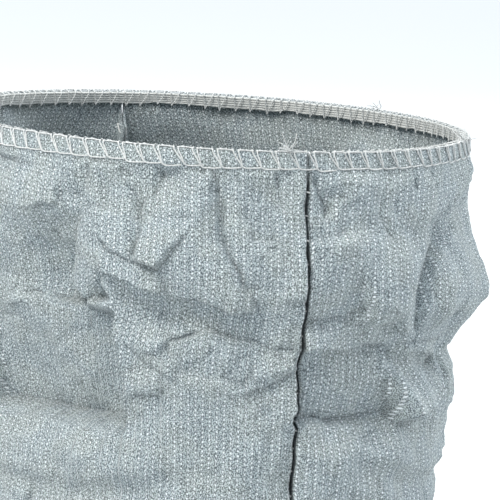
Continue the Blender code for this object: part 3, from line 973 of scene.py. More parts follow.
@dataclass(frozen=True)
class FloorFinish:
    """Pale studio floor, a little greyer in a pool of painted shade round its middle, whose edge is in
    metres.
    """

    name: str = "studio_floor"
    pale: tuple = srgb(249, 250, 250)
    # Colour of the pool of painted shade round the middle.
    pool: tuple = srgb(186, 190, 192)
    shade_pool_edge: tuple[float, float] = (0.28, 0.75)

    def material(self) -> Material:
        """A pale floor with its pool of painted shade.

        Returns:
            The floor's material.
        """
        bench = NodeBench(bpy.data.materials.new(self.name))
        # Painted shade: the floor is greyer in a pool round the cover.
        away = bench.ramp(bench.vector("LENGTH", bench.place(1.0)), *self.shade_pool_edge, 0.0, 1.0)
        colour = bench.mix(away, self.pool, self.pale)
        return bench.finish(Base_Color=colour, Roughness=0.9, Specular_IOR_Level=0.1)


@dataclass
class MeshDraft:
    """Vertices, faces and one UV map, gathered before they become a piece."""

    uv_map: str
    points: list[Array] = field(default_factory=list)
    marks: list[Array] = field(default_factory=list)
    faces: list[tuple[int, ...]] = field(default_factory=list)
    # Painted shade of sharp creases and seams' gaps for the first points, written as a point attribute.
    troughs: Optional[Array] = None
    size: int = 0

    def add_points(self, points: Array, marks: Array) -> Array:
        """Adds vertices.

        Args:
            points: Places in millimetres, in any shape that ends in 3.
            marks: UV coordinates, in the same shape that ends in 2.

        Returns:
            The vertices' numbers, in that shape.
        """
        self.points.append(points.reshape(-1, 3))
        self.marks.append(marks.reshape(-1, 2))
        start, self.size = self.size, self.size + len(self.points[-1])
        return np.arange(start, self.size).reshape(points.shape[:-1])

    def add_grid(self, ids: Array, wrap: bool = False) -> None:
        """Quads over a grid of vertex numbers.

        Args:
            ids: Numbers by row and column.
            wrap: Whether the last column joins the first.
        """
        ids = np.concatenate([ids, ids[:, :1]], axis=1) if wrap else ids
        quads = np.stack([ids[:-1, :-1], ids[:-1, 1:], ids[1:, 1:], ids[1:, :-1]], axis=-1).reshape(-1, 4)
        self.faces.extend(map(tuple, quads.tolist()))

    def zip_edges(self, first: Array, second: Array) -> None:
        """Triangles between two edges with different numbers of vertices.

        Args:
            first: Vertex numbers along one edge.
            second: Vertex numbers along the other, in the same direction.
        """
        first, second = first.tolist(), second.tolist()
        i = j = 0
        last_i, last_j = len(first) - 1, len(second) - 1
        while i < last_i or j < last_j:
            if j == last_j or (i < last_i and (i + 1) * last_j <= (j + 1) * last_i):
                self.faces.append((first[i], first[i + 1], second[j]))
                i += 1
            else:
                self.faces.append((first[i], second[j + 1], second[j]))
                j += 1

    def add_tube(self, path: Array, radius: float, sides: int, lobes: float = 0.0) -> None:
        """A tube along a path, with round ends.

        Args:
            path: Points of its middle line.
            radius: Its radius.
            sides: Sides round it.
            lobes: How far two twisted plies bulge, as a share of the radius.
        """
        tangent = unit(np.gradient(path, axis=0))
        side = unit(np.cross(tangent, UP + 0.13 * ACROSS))
        over = np.cross(side, tangent)
        angle = np.arange(sides) * TURN / sides
        side, over, run = (np.concatenate([v[:1], v, v[-1:]]) for v in (side, over, run_along(path)))
        reach = tangent * radius * 0.6
        path = np.concatenate([path[:1] - reach[:1], path, path[-1:] + reach[-1:]])
        widths = np.full(len(path), radius)
        widths[[0, -1]] = radius * 0.5
        ply = 1 + lobes * np.cos(2 * (angle[None, :] - run[:, None] * math.pi / ThreadFinish.ply_pitch))
        cosine, sine = np.cos(angle)[None, :, None], np.sin(angle)[None, :, None]
        ring = cosine * side[:, None, :] + sine * over[:, None, :]
        points = path[:, None, :] + ring * (widths[:, None] * ply)[:, :, None]
        marks = np.stack(np.broadcast_arrays(run[:, None], angle[None, :] / TURN), axis=-1)
        ids = self.add_points(points, marks)
        self.add_grid(ids, wrap=True)
        self.faces += [tuple(ids[0].tolist()), tuple(ids[-1, ::-1].tolist())]

    def piece(self, name: str, material: Material, slot: Slot, *nodes: str) -> None:
        """Writes the mesh and makes it a piece of the cover.

        Args:
            name: The piece's name.
            material: Its finish.
            slot: The record's slot for its finish. Not used.
            nodes: The solids that it stands for.
        """
        mesh = bpy.data.meshes.new(name)
        mesh.from_pydata((np.concatenate(self.points) * MM).tolist(), [], self.faces)
        shell = bmesh.new()
        shell.from_mesh(mesh)
        bmesh.ops.recalc_face_normals(shell, faces=shell.faces)
        shell.to_mesh(mesh)
        shell.free()
        corners = np.zeros(len(mesh.loops), int)
        mesh.loops.foreach_get("vertex_index", corners)
        layer = mesh.uv_layers.new(name=self.uv_map)
        layer.data.foreach_set("uv", np.concatenate(self.marks)[corners].astype(np.float32).ravel())
        # The painted shade of creases and seams' gaps goes on as a point attribute.
        if self.troughs is not None:
            tone = np.zeros(len(mesh.vertices), np.float32)
            tone[: self.troughs.size] = self.troughs.ravel()
            mesh.attributes.new(ClothFinish.painted_shade_map, "FLOAT", "POINT").data.foreach_set("value", tone)
        mesh.shade_smooth()
        mesh.materials.append(material)
        piece = bpy.data.objects.new(name, mesh)
        bpy.context.scene.collection.objects.link(piece)
        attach(piece, BODY)
        if nodes:
            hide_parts(*nodes)
        triangles = sum(len(face) - 2 for face in self.faces)
        LOG.info("%s: %d vertices, %d triangles", name, self.size, triangles)


@dataclass
class SidePanel:
    """One side panel of the upper: outer and inner face, the seam allowances and the turned-in lower margin.

    The row and column bands are the end of each band of even steps and the number of its steps. The rolls
    are profiles of cloth that turns into a seam or over the sole's margin: distances from the seam, and
    depths or heights. A roll's depth past roll_depth fades with the allowance. Gap depths are where the
    painted shade of a seam's gap is full, and where the shown part of the roll ends.
    """

    form: CoverForm
    crumple: CrumpleMap
    side: Side
    cloth: float = 0.6
    row_bands: Pairs = ((57.0, 163), (120.0, 55), (234.5, 52))
    column_bands: Pairs = ((0.365, 194), (1.0, 104))
    margin_lift: float = 0.15
    hem_height: float = 3.4
    seam_fade: float = 7.0
    seam_dip: float = 0.45
    dip_reach: float = 2.2
    dip_fade: tuple[float, float] = (2.0, 9.0)
    stitch_draw: float = 0.35
    roll_depth: float = 0.8
    middle_gap: float = 0.16
    seam_pitch: float = 5.0
    seam_gape: float = 1.1
    gape_drops: tuple[float, float] = (12.0, 24.0)
    gape_reach: float = 0.12
    rag_share: float = 0.8
    rag_size: float = 1.5
    rag_seed: int = 17
    painted_gap_shade: float = 2.8
    gap_depths: tuple[float, float] = (0.45, 2.0)
    sharp_bend: float = 0.25
    bend_span: float = 1.6
    row_slant: float = 0.06
    left_stretch: float = 1.23
    right_stretch: float = 0.97
    step: int = 3
    outer_roll: Pairs = (
        (0.12, 4.8), (0.12, 3.0), (0.13, 1.5), (0.17, 0.85), (0.27, 0.45), (0.45, 0.2), (0.68, 0.07))
    inner_roll: Pairs = ((0.72, 4.8), (0.72, 2.6), (0.8, 1.4), (1.15, 0.95))
    bottom_roll: Pairs = ((0.05, 0.9), (0.2, 0.4), (0.5, 0.1), (1.0, 0.0), (2.4, 0.0), (4.0, 0.0))

    def __post_init__(self) -> None:
        """Works out the creased wall."""
        self.drops, self.shares = self.banded(self.row_bands), self.banded(self.column_bands)
        rises = self.form.collar_height - self.drops
        self.form_wall, self.girth = self.form.grid(rises, self.shares, self.side)
        around, down = np.meshgrid(self.shares * self.crumple.half_girth * self.side.value, self.drops)
        self.height = self.crumple.height(around, down) + self.seam_pucker()
        self.form_facing = self.normals(self.form_wall)
        self.wall = self.form_wall + self.form_facing * self.height[:, :, None]
        self.facing = self.normals(self.wall)
        self.foot = self.form.half_outline(self.form.foot_rise)

    @staticmethod
    def banded(bands: Pairs) -> Array:
        """Values from 0 that are even within each band.

        Args:
            bands: The end of each band and its number of steps.

        Returns:
            The values.
        """
        starts = (0.0, *(end for end, _ in bands))
        runs = [np.linspace(start, end, steps + 1)[1:] for start, (end, steps) in zip(starts, bands)]
        return np.concatenate([np.zeros(1), *runs])

    def normals(self, grid: Array) -> Array:
        """Outward normals of a grid of points, which lie in the cover's middle plane along the seams.

        Args:
            grid: Points by row and column.

        Returns:
            Unit vectors in the same shape.
        """
        around, down = np.gradient(grid, axis=1), np.gradient(grid, axis=0)
        normal = unit(np.cross(around, down)) * self.side.value
        for column, sign in ((0, -1), (-1, 1)):
            level = unit(np.cross(down[:, column], ACROSS))
            normal[:, column] = level * np.sign(level[:, :1] * sign + 1e-9)
        return normal

    def seam_pucker(self) -> Array:
        """The dip of the cloth into both seams, drawn tighter at each stitch.

        Returns:
            Heights by row and column, below 0.
        """
        drops, dip = self.drops[:, None], np.zeros_like(self.girth)
        stitch = 1 + self.stitch_draw * np.cos(TURN * drops / self.seam_pitch)
        for away in (self.girth, self.girth[:, -1:] - self.girth):
            dip -= self.seam_dip * stitch * np.exp(-((away / self.dip_reach) ** 2))
        return dip * smooth_step(drops, *self.dip_fade)

    def allowance_share(self) -> Array:
        """How far the allowances stand in: they fade under the hem and at the sole.

        Returns:
            A share for each row.
        """
        rises, foot = self.form.collar_height - self.drops, self.form.foot_rise + 1.2
        hem = smooth_step(self.drops, self.hem_height, self.hem_height + self.seam_fade)
        return smooth_step(rises, foot, foot + self.seam_fade) * hem

    def rolled(self, wall: Array, profile: Pairs) -> Array:
        """A wall with the columns of cloth that roll into both seams.

        Args:
            wall: Points of the wall between the seams.
            profile: Distances from a seam's middle and depths under the wall, from the allowance's edge out.

        Returns:
            Points by row and column.
        """
        share = self.allowance_share()
        ragged = value_noise(self.drops, 0 * self.drops, self.rag_size, self.rag_seed + self.side.value)
        gape = self.seam_gape * smooth_step(self.drops, *self.gape_drops) * (1 + self.rag_share * ragged)
        rolls = []
        for column in (0, -1):
            line = self.wall[:, column] * (1, 0, 1)
            columns = []
            for away, depth in profile:
                deep = np.minimum(depth, self.roll_depth) + np.maximum(depth - self.roll_depth, 0) * share
                apart = away + gape * np.minimum(away, self.gape_reach)
                columns.append(line + ACROSS * self.side.value * apart[:, None]
                               - self.facing[:, column] * deep[:, None])
            rolls.append(np.stack(columns, axis=1))
        return np.concatenate([rolls[0], wall, rolls[1][:, ::-1]], axis=1)

    def margin_rows(self, columns: Array, thickness: float) -> Array:
        """Rows that turn the lower edge in over the sole's margin.

        Args:
            columns: Girths round the foot outline, with the seam rolls.
            thickness: How far the rows stand in from the outer face's.

        Returns:
            Points by row and column.
        """
        points, _, girth = self.foot
        foot = pick(columns, girth, points) * (1, self.side.value, 1)
        tangent = np.gradient(foot, axis=0)
        level = unit(np.stack([-tangent[:, 1], tangent[:, 0], 0 * tangent[:, 0]], axis=1)) * self.side.value
        level[0], level[-1] = (-1, 0, 0), (1, 0, 0)
        rows = []
        for inset, rise in self.bottom_roll:
            row = foot - level * max(inset, thickness)
            row[:, 2] = foot[:, 2] + self.margin_lift + max(rise, thickness)
            row[:, 1] = np.maximum(row[:, 1] * self.side.value, self.middle_gap) * self.side.value
            rows.append(row)
        return np.stack(rows)

    def outer_face(self) -> tuple[Array, Array]:
        """The outer face with its rolls.

        Returns:
            Points by row and column, and the cloth coordinates of each.
        """
        near = np.array([0.4 * away - depth for away, depth in self.outer_roll])
        edge, half, foot_half = len(near), self.girth[:, -1:], self.foot[2][-1]
        ends = np.repeat(near[None], len(self.drops), 0)
        girth = np.concatenate([ends, self.girth[:, 1:-1], half - near[::-1][None]], axis=1)
        sunk = near.clip(self.middle_gap)
        last = np.concatenate([sunk, self.shares[1:-1] * foot_half, (foot_half - sunk)[::-1]])
        rows = self.margin_rows(last, 0.0)
        grid = np.concatenate([self.rolled(self.wall[:, 1:-1], self.outer_roll), rows])
        run = np.cumsum(np.linalg.norm(np.diff(grid, axis=0), axis=2), axis=0)
        down = np.concatenate([np.zeros((1, grid.shape[1])), run])
        down[:, :edge] = down[:, edge:edge + 1]
        down[:, -edge:] = down[:, -edge - 1:-edge]
        across = np.concatenate([girth, np.repeat(last[None], len(rows), 0)])
        stretch = self.right_stretch if self.side is Side.RIGHT else self.left_stretch
        return grid, np.stack([across * self.side.value * stretch, down + self.row_slant * across], axis=-1)

    def inner_face(self, marks: Array) -> tuple[Array, Array]:
        """The inner face: fewer points, each one cloth under the lowest of the outer ones about it.

        Args:
            marks: The outer face's cloth coordinates.

        Returns:
            Points and cloth coordinates.
        """
        low = self.pooled(self.pooled(self.height, 2 * self.step, np.min), self.step, np.mean)
        shown = smooth_step(self.drops, self.hem_height, 3 * self.hem_height)[:, None]
        low = self.height + (low - self.height) * shown
        under = self.form_wall + self.form_facing * (low - self.cloth)[:, :, None]
        wide = slice(self.step * 2, -self.step * 2, self.step)
        near, foot_half = np.array([away for away, _ in self.inner_roll]), self.foot[2][-1]
        last = np.concatenate([near, self.shares[wide] * foot_half, (foot_half - near)[::-1]])
        wall = self.rolled(under[:, wide], self.inner_roll)
        grid = np.concatenate([wall, self.margin_rows(last, self.cloth)])
        rows = np.unique(np.concatenate([np.arange(0, len(grid), self.step), [len(grid) - 1]]))
        half = np.concatenate([self.girth[:, -1], np.full(len(self.bottom_roll), foot_half)])[:, None]
        shares = np.concatenate([near / foot_half, self.shares[wide], 1 - near[::-1] / foot_half])
        across = half * shares[None] * self.side.value
        down = np.repeat(marks[:, marks.shape[1] // 2, 1][:, None], len(shares), 1)
        return grid[rows], np.stack([across, down], axis=-1)[rows]

    @staticmethod
    def pooled(values: Array, reach: int, pool: Callable) -> Array:
        """Values pooled by a numpy function over a square of places about each.

        Args:
            values: Values by row and column.
            reach: Places to each side that are pooled.
            pool: The function, such as the least or the mean.

        Returns:
            The pooled values.
        """
        for axis in (0, 1):
            pads = [(reach, reach) if k == axis else (0, 0) for k in (0, 1)]
            padded = np.pad(values, pads, "edge")
            windows = np.lib.stride_tricks.sliding_window_view(padded, 2 * reach + 1, axis)
            values = pool(windows, axis=-1)
        return values

    def troughs(self, shape: tuple[int, int]) -> Array:
        """Painted shade of each point of the outer face, by how deep it lies: to 1 in a sharp crease, and
        more in a seam's gap.

        Args:
            shape: Rows and columns of the outer face.

        Returns:
            The strengths of the painted shade.
        """
        across, rows, edge = self.shares * self.crumple.half_girth, len(self.drops), len(self.outer_roll)
        bend = np.gradient(np.gradient(self.height, across, axis=1), across, axis=1)
        bend += np.gradient(np.gradient(self.height, self.drops, axis=0), self.drops, axis=0)
        # The seams' gaps get painted shade, stronger than a crease's, where the roll lies deep.
        full, end = self.gap_depths
        gap = np.array([min(deep / full, 1.0) * (deep < end) for _, deep in self.outer_roll])
        gap = gap * self.painted_gap_shade * smooth_step(self.drops, self.hem_height, 2 * self.hem_height)[:, None]
        depth = np.zeros(shape)
        depth[:rows, edge:-edge] = np.clip((bend[:, 1:-1] - self.sharp_bend) / self.bend_span, 0, 1)
        depth[:rows, :edge], depth[:rows, -edge:] = gap, gap[:, ::-1]
        return depth

    def build(self, finish: Material) -> None:
        """Builds the panel and dresses it.

        Args:
            finish: The cloth.
        """
        draft = MeshDraft(ClothFinish.uv_map)
        points, marks = self.outer_face()
        outer = draft.add_points(points, marks)
        inner = draft.add_points(*self.inner_face(marks))
        # Painted shade for the sharp creases and the seams' gaps.
        draft.troughs = self.troughs(points.shape[:2])
        draft.add_grid(outer)
        draft.add_grid(inner[::-1])
        for edge in (np.s_[0], np.s_[-1], np.s_[:, 0], np.s_[:, -1]):
            draft.zip_edges(outer[edge], inner[edge])
        draft.piece(f"{self.side.name.lower()}_panel", finish, Slot.CLOTH, "upper")

    def at(self, girth: Array, drop: Array) -> tuple[Array, Array]:
        """Points and normals of the creased wall.

        Args:
            girth: Girths at the collar, without sign.
            drop: Drops below the rim.

        Returns:
            Points and unit normals.
        """
        share = np.asarray(girth) / self.crumple.half_girth
        column = np.interp(share, self.shares, np.arange(len(self.shares)))
        row = np.interp(drop, self.drops, np.arange(len(self.drops)))
        column, row = np.broadcast_arrays(column, row)
        j = np.minimum(column.astype(int), len(self.shares) - 2)
        i = np.minimum(row.astype(int), len(self.drops) - 2)
        u, v = (column - j)[..., None], (row - i)[..., None]
        blends = []
        for grid in (self.wall, self.facing):
            high = grid[i, j] * (1 - u) + grid[i, j + 1] * u
            low = grid[i + 1, j] * (1 - u) + grid[i + 1, j + 1] * u
            blends.append(high * (1 - v) + low * v)
        return blends[0], unit(blends[1])


@dataclass
class Shell:
    """Both panels as one surface, for what is sewn to them."""

    left: SidePanel
    right: SidePanel

    def at(self, girth: Array, drop: Array, lift: Array) -> Array:
        """Points over the cloth.

        Args:
            girth: Girths at the collar, positive to the left, wrapping at the front seam.
            drop: Drops below the rim.
            lift: Heights over the cloth.

        Returns:
            The points.
        """
        girth, drop, lift = np.broadcast_arrays(np.asarray(girth, float), drop, lift)
        half = self.left.crumple.half_girth
        turned = (girth + half) % (2 * half) - half
        left, right = (panel.at(np.abs(turned), drop) for panel in (self.left, self.right))
        points, normals = (np.where((turned >= 0)[..., None], *pair) for pair in zip(left, right))
        return points + normals * lift[..., None]


@dataclass
class Collar:
    """The gathered hem: elastic behind the cloth's edge, and the overlocking that wraps both.

    A stitch's shares are parts of the pitch, its spreads are how unevenly it is sewn, and the thread shares
    are the thicknesses of its five runs. The tufts are girths, numbers of thread ends and their lengths.
    """

    shell: Shell
    thread: Material
    braid: Material
    pitch: float = 4.0
    hem: float = 3.3
    thread_radius: float = 0.155
    thread_sides: int = 7
    thread_step: float = 0.3
    least_step: float = 0.05
    ply_bulge: float = 0.14
    thread_shares: tuple[float, ...] = (1.0, 0.9, 0.9, 0.85, 0.85)
    foot_share: float = 0.52
    foot_spread: float = 0.04
    top_share: float = 0.24
    top_spread: float = 0.03
    back_share: float = 0.9
    start_spread: float = 0.14
    hem_spread: float = 0.09
    chain_spread: float = 0.08
    lift: float = 0.2
    depth: float = 2.05
    crown: float = 0.34
    elastic_face: float = -0.9
    elastic_thickness: float = 0.7
    elastic_height: float = 2.8
    elastic_ribs: int = 5
    elastic_columns: int = 640
    rib_height: float = 0.12
    twill_height: float = 0.03
    twill_length: float = 0.9
    tuft_radius: tuple[float, float] = (0.06, 0.11)
    tuft_length: tuple[float, float] = (0.5, 1.1)
    tuft_rise: float = 0.9
    tuft_spread: float = 0.35
    tuft_curl: float = 0.45
    tuft_wave: float = 0.15
    tufts: tuple[tuple[float, int, float], ...] = (
        (4.3, 16, 3.0), (-54.0, 14, 2.4), (96.0, 6, 2.4), (-120.0, 6, 2.6))
    seed: int = 23

    def wrapped(self, girth: Array, way: Array, lift: Array) -> Array:
        """Points on a way round the hem: negative outside, from 0 over the rim, and then down the inside.

        Args:
            girth: Girths at the collar.
            way: Millimetres along that way.
            lift: Heights over the hem.

        Returns:
            The points.
        """
        crown_way = self.depth + self.lift
        over = np.clip(way / crown_way, 0, 1)
        drop = np.where(way < 0, -way, np.maximum(way - crown_way, 0))
        inward = self.lift + (lift - self.lift) * np.cos(over * math.pi) - over * crown_way
        points = self.shell.at(girth, drop, inward)
        arch = np.sin(over * math.pi) * (self.crown + lift - self.lift)
        points[..., 2] += arch + 0.1 * (way >= 0) * (way < crown_way)
        return points

    def lay(self, draft: MeshDraft, thickness: float, stops: Sequence[tuple[float, float, float]]) -> None:
        """Lays one thread through stops, with its corners rounded.

        Args:
            draft: Where the thread goes.
            thickness: Share of the thread's whole radius.
            stops: Girth, way and height over the hem's thread of each stop.
        """
        stop = np.array(stops) + (0, 0, self.lift)
        spread = np.linalg.norm(np.diff(stop[:, :2], axis=0), axis=1)
        at = np.concatenate([[0], np.cumsum(np.maximum(spread, self.least_step))])
        laid = pick(np.linspace(0, at[-1], max(int(at[-1] / self.thread_step), 6)), at, stop)
        for _ in range(3):
            laid[1:-1] = (laid[:-2] + 2 * laid[1:-1] + laid[2:]) / 4
        radius = self.thread_radius * thickness
        draft.add_tube(self.wrapped(*laid.T), radius, self.thread_sides, self.ply_bulge)

    def build_overlock(self) -> None:
        """The looper threads across the hem, the chain along its edge and the needle line."""
        rng = np.random.default_rng(self.seed)
        draft = MeshDraft(ThreadFinish.uv_map)
        length = 2 * self.shell.left.crumple.half_girth
        count = round(length / self.pitch)
        pitch, inside = length / count, self.depth + self.lift
        for index in range(count):
            start = -index * pitch + rng.normal(0, self.start_spread)
            foot = start - pitch * (self.foot_share + rng.normal(0, self.foot_spread))
            top = start - pitch * (self.top_share + rng.normal(0, self.top_spread))
            low = -self.hem + rng.normal(0, self.hem_spread)
            chain = 0.32 + rng.normal(0, self.chain_spread)
            back, rest = start - self.back_share * pitch, start - pitch
            # The runs of one stitch, each stop a girth, a way round the hem and a height
            outer_fall = [(start, 0.3, 0.05), (start - 0.05, -0.2, 0), (foot + 0.1, low + 0.3, 0),
                          (foot, low, 0), (foot - 0.15 * pitch, low - 0.16, 0),
                          (foot - 0.6 * pitch, low - 0.1, 0), (foot - pitch + 0.1, low + 0.06, -0.16)]
            outer_rise = [(foot + 0.02, low + 0.1, -0.2), (foot + 0.06, low + 0.6, 0.06), (top, -0.2, 0.1),
                          (top - 0.1, 0.4, 0.05)]
            edge = [(top + 0.2, 0.2, 0), (top - 0.38 * pitch, chain, 0.12), (rest - 0.2, 0.15, 0)]
            inner_fall = [(start - 0.4 * pitch, 0.4, 0.05), (start - 0.45 * pitch, inside * 0.6, 0),
                          (start - 0.5 * pitch, inside + 0.3, 0), (back, inside + self.hem, 0)]
            inner_rise = [(back, inside + self.hem, 0), (rest, inside + 0.4, 0.05),
                          (rest, inside * 0.4, 0.05)]
            runs = (outer_fall, outer_rise, edge, inner_fall, inner_rise)
            for share, stops in zip(self.thread_shares, runs):
                self.lay(draft, share, stops)
        draft.piece("collar_overlocking", self.thread, Slot.THREAD, "collar_overlock")

    def build_elastic(self) -> None:
        """The ribbed braid behind the cloth's edge."""
        draft = MeshDraft(ElasticFinish.uv_map)
        half = self.shell.left.crumple.half_girth
        girth = np.linspace(-half, half, self.elastic_columns, endpoint=False)
        rib = np.linspace(0, 1, self.elastic_ribs * 6 + 1)
        bulge = self.rib_height * np.abs(np.sin(rib * math.pi * self.elastic_ribs))
        drop = rib * self.elastic_height
        face = self.elastic_face - self.rib_height + bulge
        back = self.elastic_face - self.elastic_thickness + self.rib_height - bulge
        profile = np.concatenate([np.stack([drop, face], 1), np.stack([drop, back], 1)[::-1]])
        rows = []
        for number, (low, offset) in enumerate(profile):
            twill = self.twill_height * np.cos(TURN * (girth / self.twill_length + number * 0.25))
            rows.append(self.shell.at(girth, low, offset + twill))
        marks = np.stack(np.broadcast_arrays(girth[None, :], np.arange(len(profile))[:, None] * 0.2), axis=-1)
        ids = draft.add_points(np.stack(rows), marks)
        draft.add_grid(np.concatenate([ids, ids[:1]]), wrap=True)
        draft.piece("collar_braid", self.braid, Slot.ELASTIC, "collar_elastic")

    def build_tufts(self) -> None:
        """Loose thread ends over the rim, the fullest by the back seam and at the right."""
        rng = np.random.default_rng(self.seed + 1)
        draft = MeshDraft(ThreadFinish.uv_map)
        t = np.linspace(0, 1, 9)[:, None]
        for girth, count, reach in self.tufts:
            root = self.shell.at(girth, 0.0, 0.2) + 0.4 * UP
            for _ in range(count):
                heading = unit(rng.normal(0, 1, 3) * (1, 1, 0.5) + (0, 0, self.tuft_rise))
                curl = unit(rng.normal(0, 1, 3))
                length = reach * rng.uniform(*self.tuft_length)
                path = root + rng.normal(0, self.tuft_spread, 3) * (1, 1, 0.2) + heading * length * t
                wave = self.tuft_wave * np.sin(t * 9 + rng.uniform(0, 6)) * curl
                path = path + curl * length * self.tuft_curl * t * t + wave
                draft.add_tube(path, rng.uniform(*self.tuft_radius), 5)
        draft.piece("thread_ends", self.thread, Slot.THREAD)


@dataclass
class SeamThreads:
    """Thread that shows across the seams, and the overlocking of their allowances inside."""

    shell: Shell
    thread: Material
    pitch: float = 5.0
    radius: float = 0.17
    reach: float = 0.85
    slant: float = 0.5
    slant_spread: float = 0.15
    fall_spread: float = 0.2
    bar_depth: float = 0.16
    bar_sag: float = 0.22
    bar_sides: int = 7
    bar_bulge: float = 0.12
    bar_shares: tuple[float, float] = (0.8, 1.15)
    end_start: float = 0.75
    shown: int = 3
    sink: float = 0.7
    allowance: float = 4.8
    bite: float = 1.6
    stops_short: tuple[float, float] = (8.0, 5.0)
    seed: int = 31

    def seam_line(self, seam: Seam) -> tuple[Array, Array, Array]:
        """Even points down a seam.

        Args:
            seam: Which seam.

        Returns:
            Points, outward normals and the share of the allowance that stands in there.
        """
        left, right = self.shell.left, self.shell.right
        line = (left.wall[:, seam.value] + right.wall[:, seam.value]) / 2
        run = run_along(line)
        below_rim, above_sole = self.stops_short
        at = np.arange(below_rim, run[-1] - above_sole, self.pitch)
        normals = unit(pick(at, run, left.facing[:, seam.value]))
        return pick(at, run, line), normals, np.interp(at, run, left.allowance_share())

    def build_bars(self) -> None:
        """Bars of thread across the slightly open seams."""
        rng = np.random.default_rng(self.seed)
        draft = MeshDraft(ThreadFinish.uv_map)
        t = np.linspace(-1, 1, 9)
        for seam in Seam:
            points, normals, _ = self.seam_line(seam)
            for index, (point, normal) in enumerate(zip(points, normals)):
                sunk = self.sink if index >= self.shown and seam is Seam.BACK else 0.0
                ends = 0.5 * np.maximum(np.abs(t) - self.end_start, 0)
                depth = sunk + self.bar_depth + self.bar_sag * (1 - t * t) + ends
                slant = self.slant + rng.normal(0, self.slant_spread)
                fall = t * slant / 2 + rng.normal(0, self.fall_spread)
                path = (point + ACROSS * (t * self.reach)[:, None] - normal * depth[:, None]
                        + np.cross(ACROSS, normal) * fall[:, None])
                radius = self.radius * rng.uniform(*self.bar_shares)
                draft.add_tube(path, radius, self.bar_sides, self.bar_bulge)
        draft.piece("seam_thread_bars", self.thread, Slot.THREAD)

    def build_allowances(self) -> None:
        """Overlocking round the edges of both allowances, inside the cover."""
        draft = MeshDraft(ThreadFinish.uv_map)
        shallow = self.shell.left.roll_depth
        for seam in Seam:
            points, normals, shares = self.seam_line(seam)
            for point, normal, share, follower in zip(points, normals, shares, points[1:]):
                if share < 0.5:
                    continue
                deep = shallow + (self.allowance - shallow) * share
                stop = np.array([(1.0, self.bite, 0.0), (1.0, deep, 0.35), (0.0, deep + 0.35, 0.45),
                                 (-1.0, deep, 0.5), (-1.0, self.bite, 0.75), (-1.0, deep, 0.9),
                                 (0.0, deep + 0.4, 1.0), (1.0, deep, 1.0), (1.0, self.bite, 1.0)])
                fine = np.linspace(0, len(stop) - 1, 4 * len(stop))
                across, inward, along = pick(fine, np.arange(len(stop)), stop).T[:, :, None]
                path = point + ACROSS * across - normal * inward + (follower - point) * along
                draft.add_tube(path, self.radius, 6)
        draft.piece("allowance_overlocking", self.thread, Slot.THREAD)


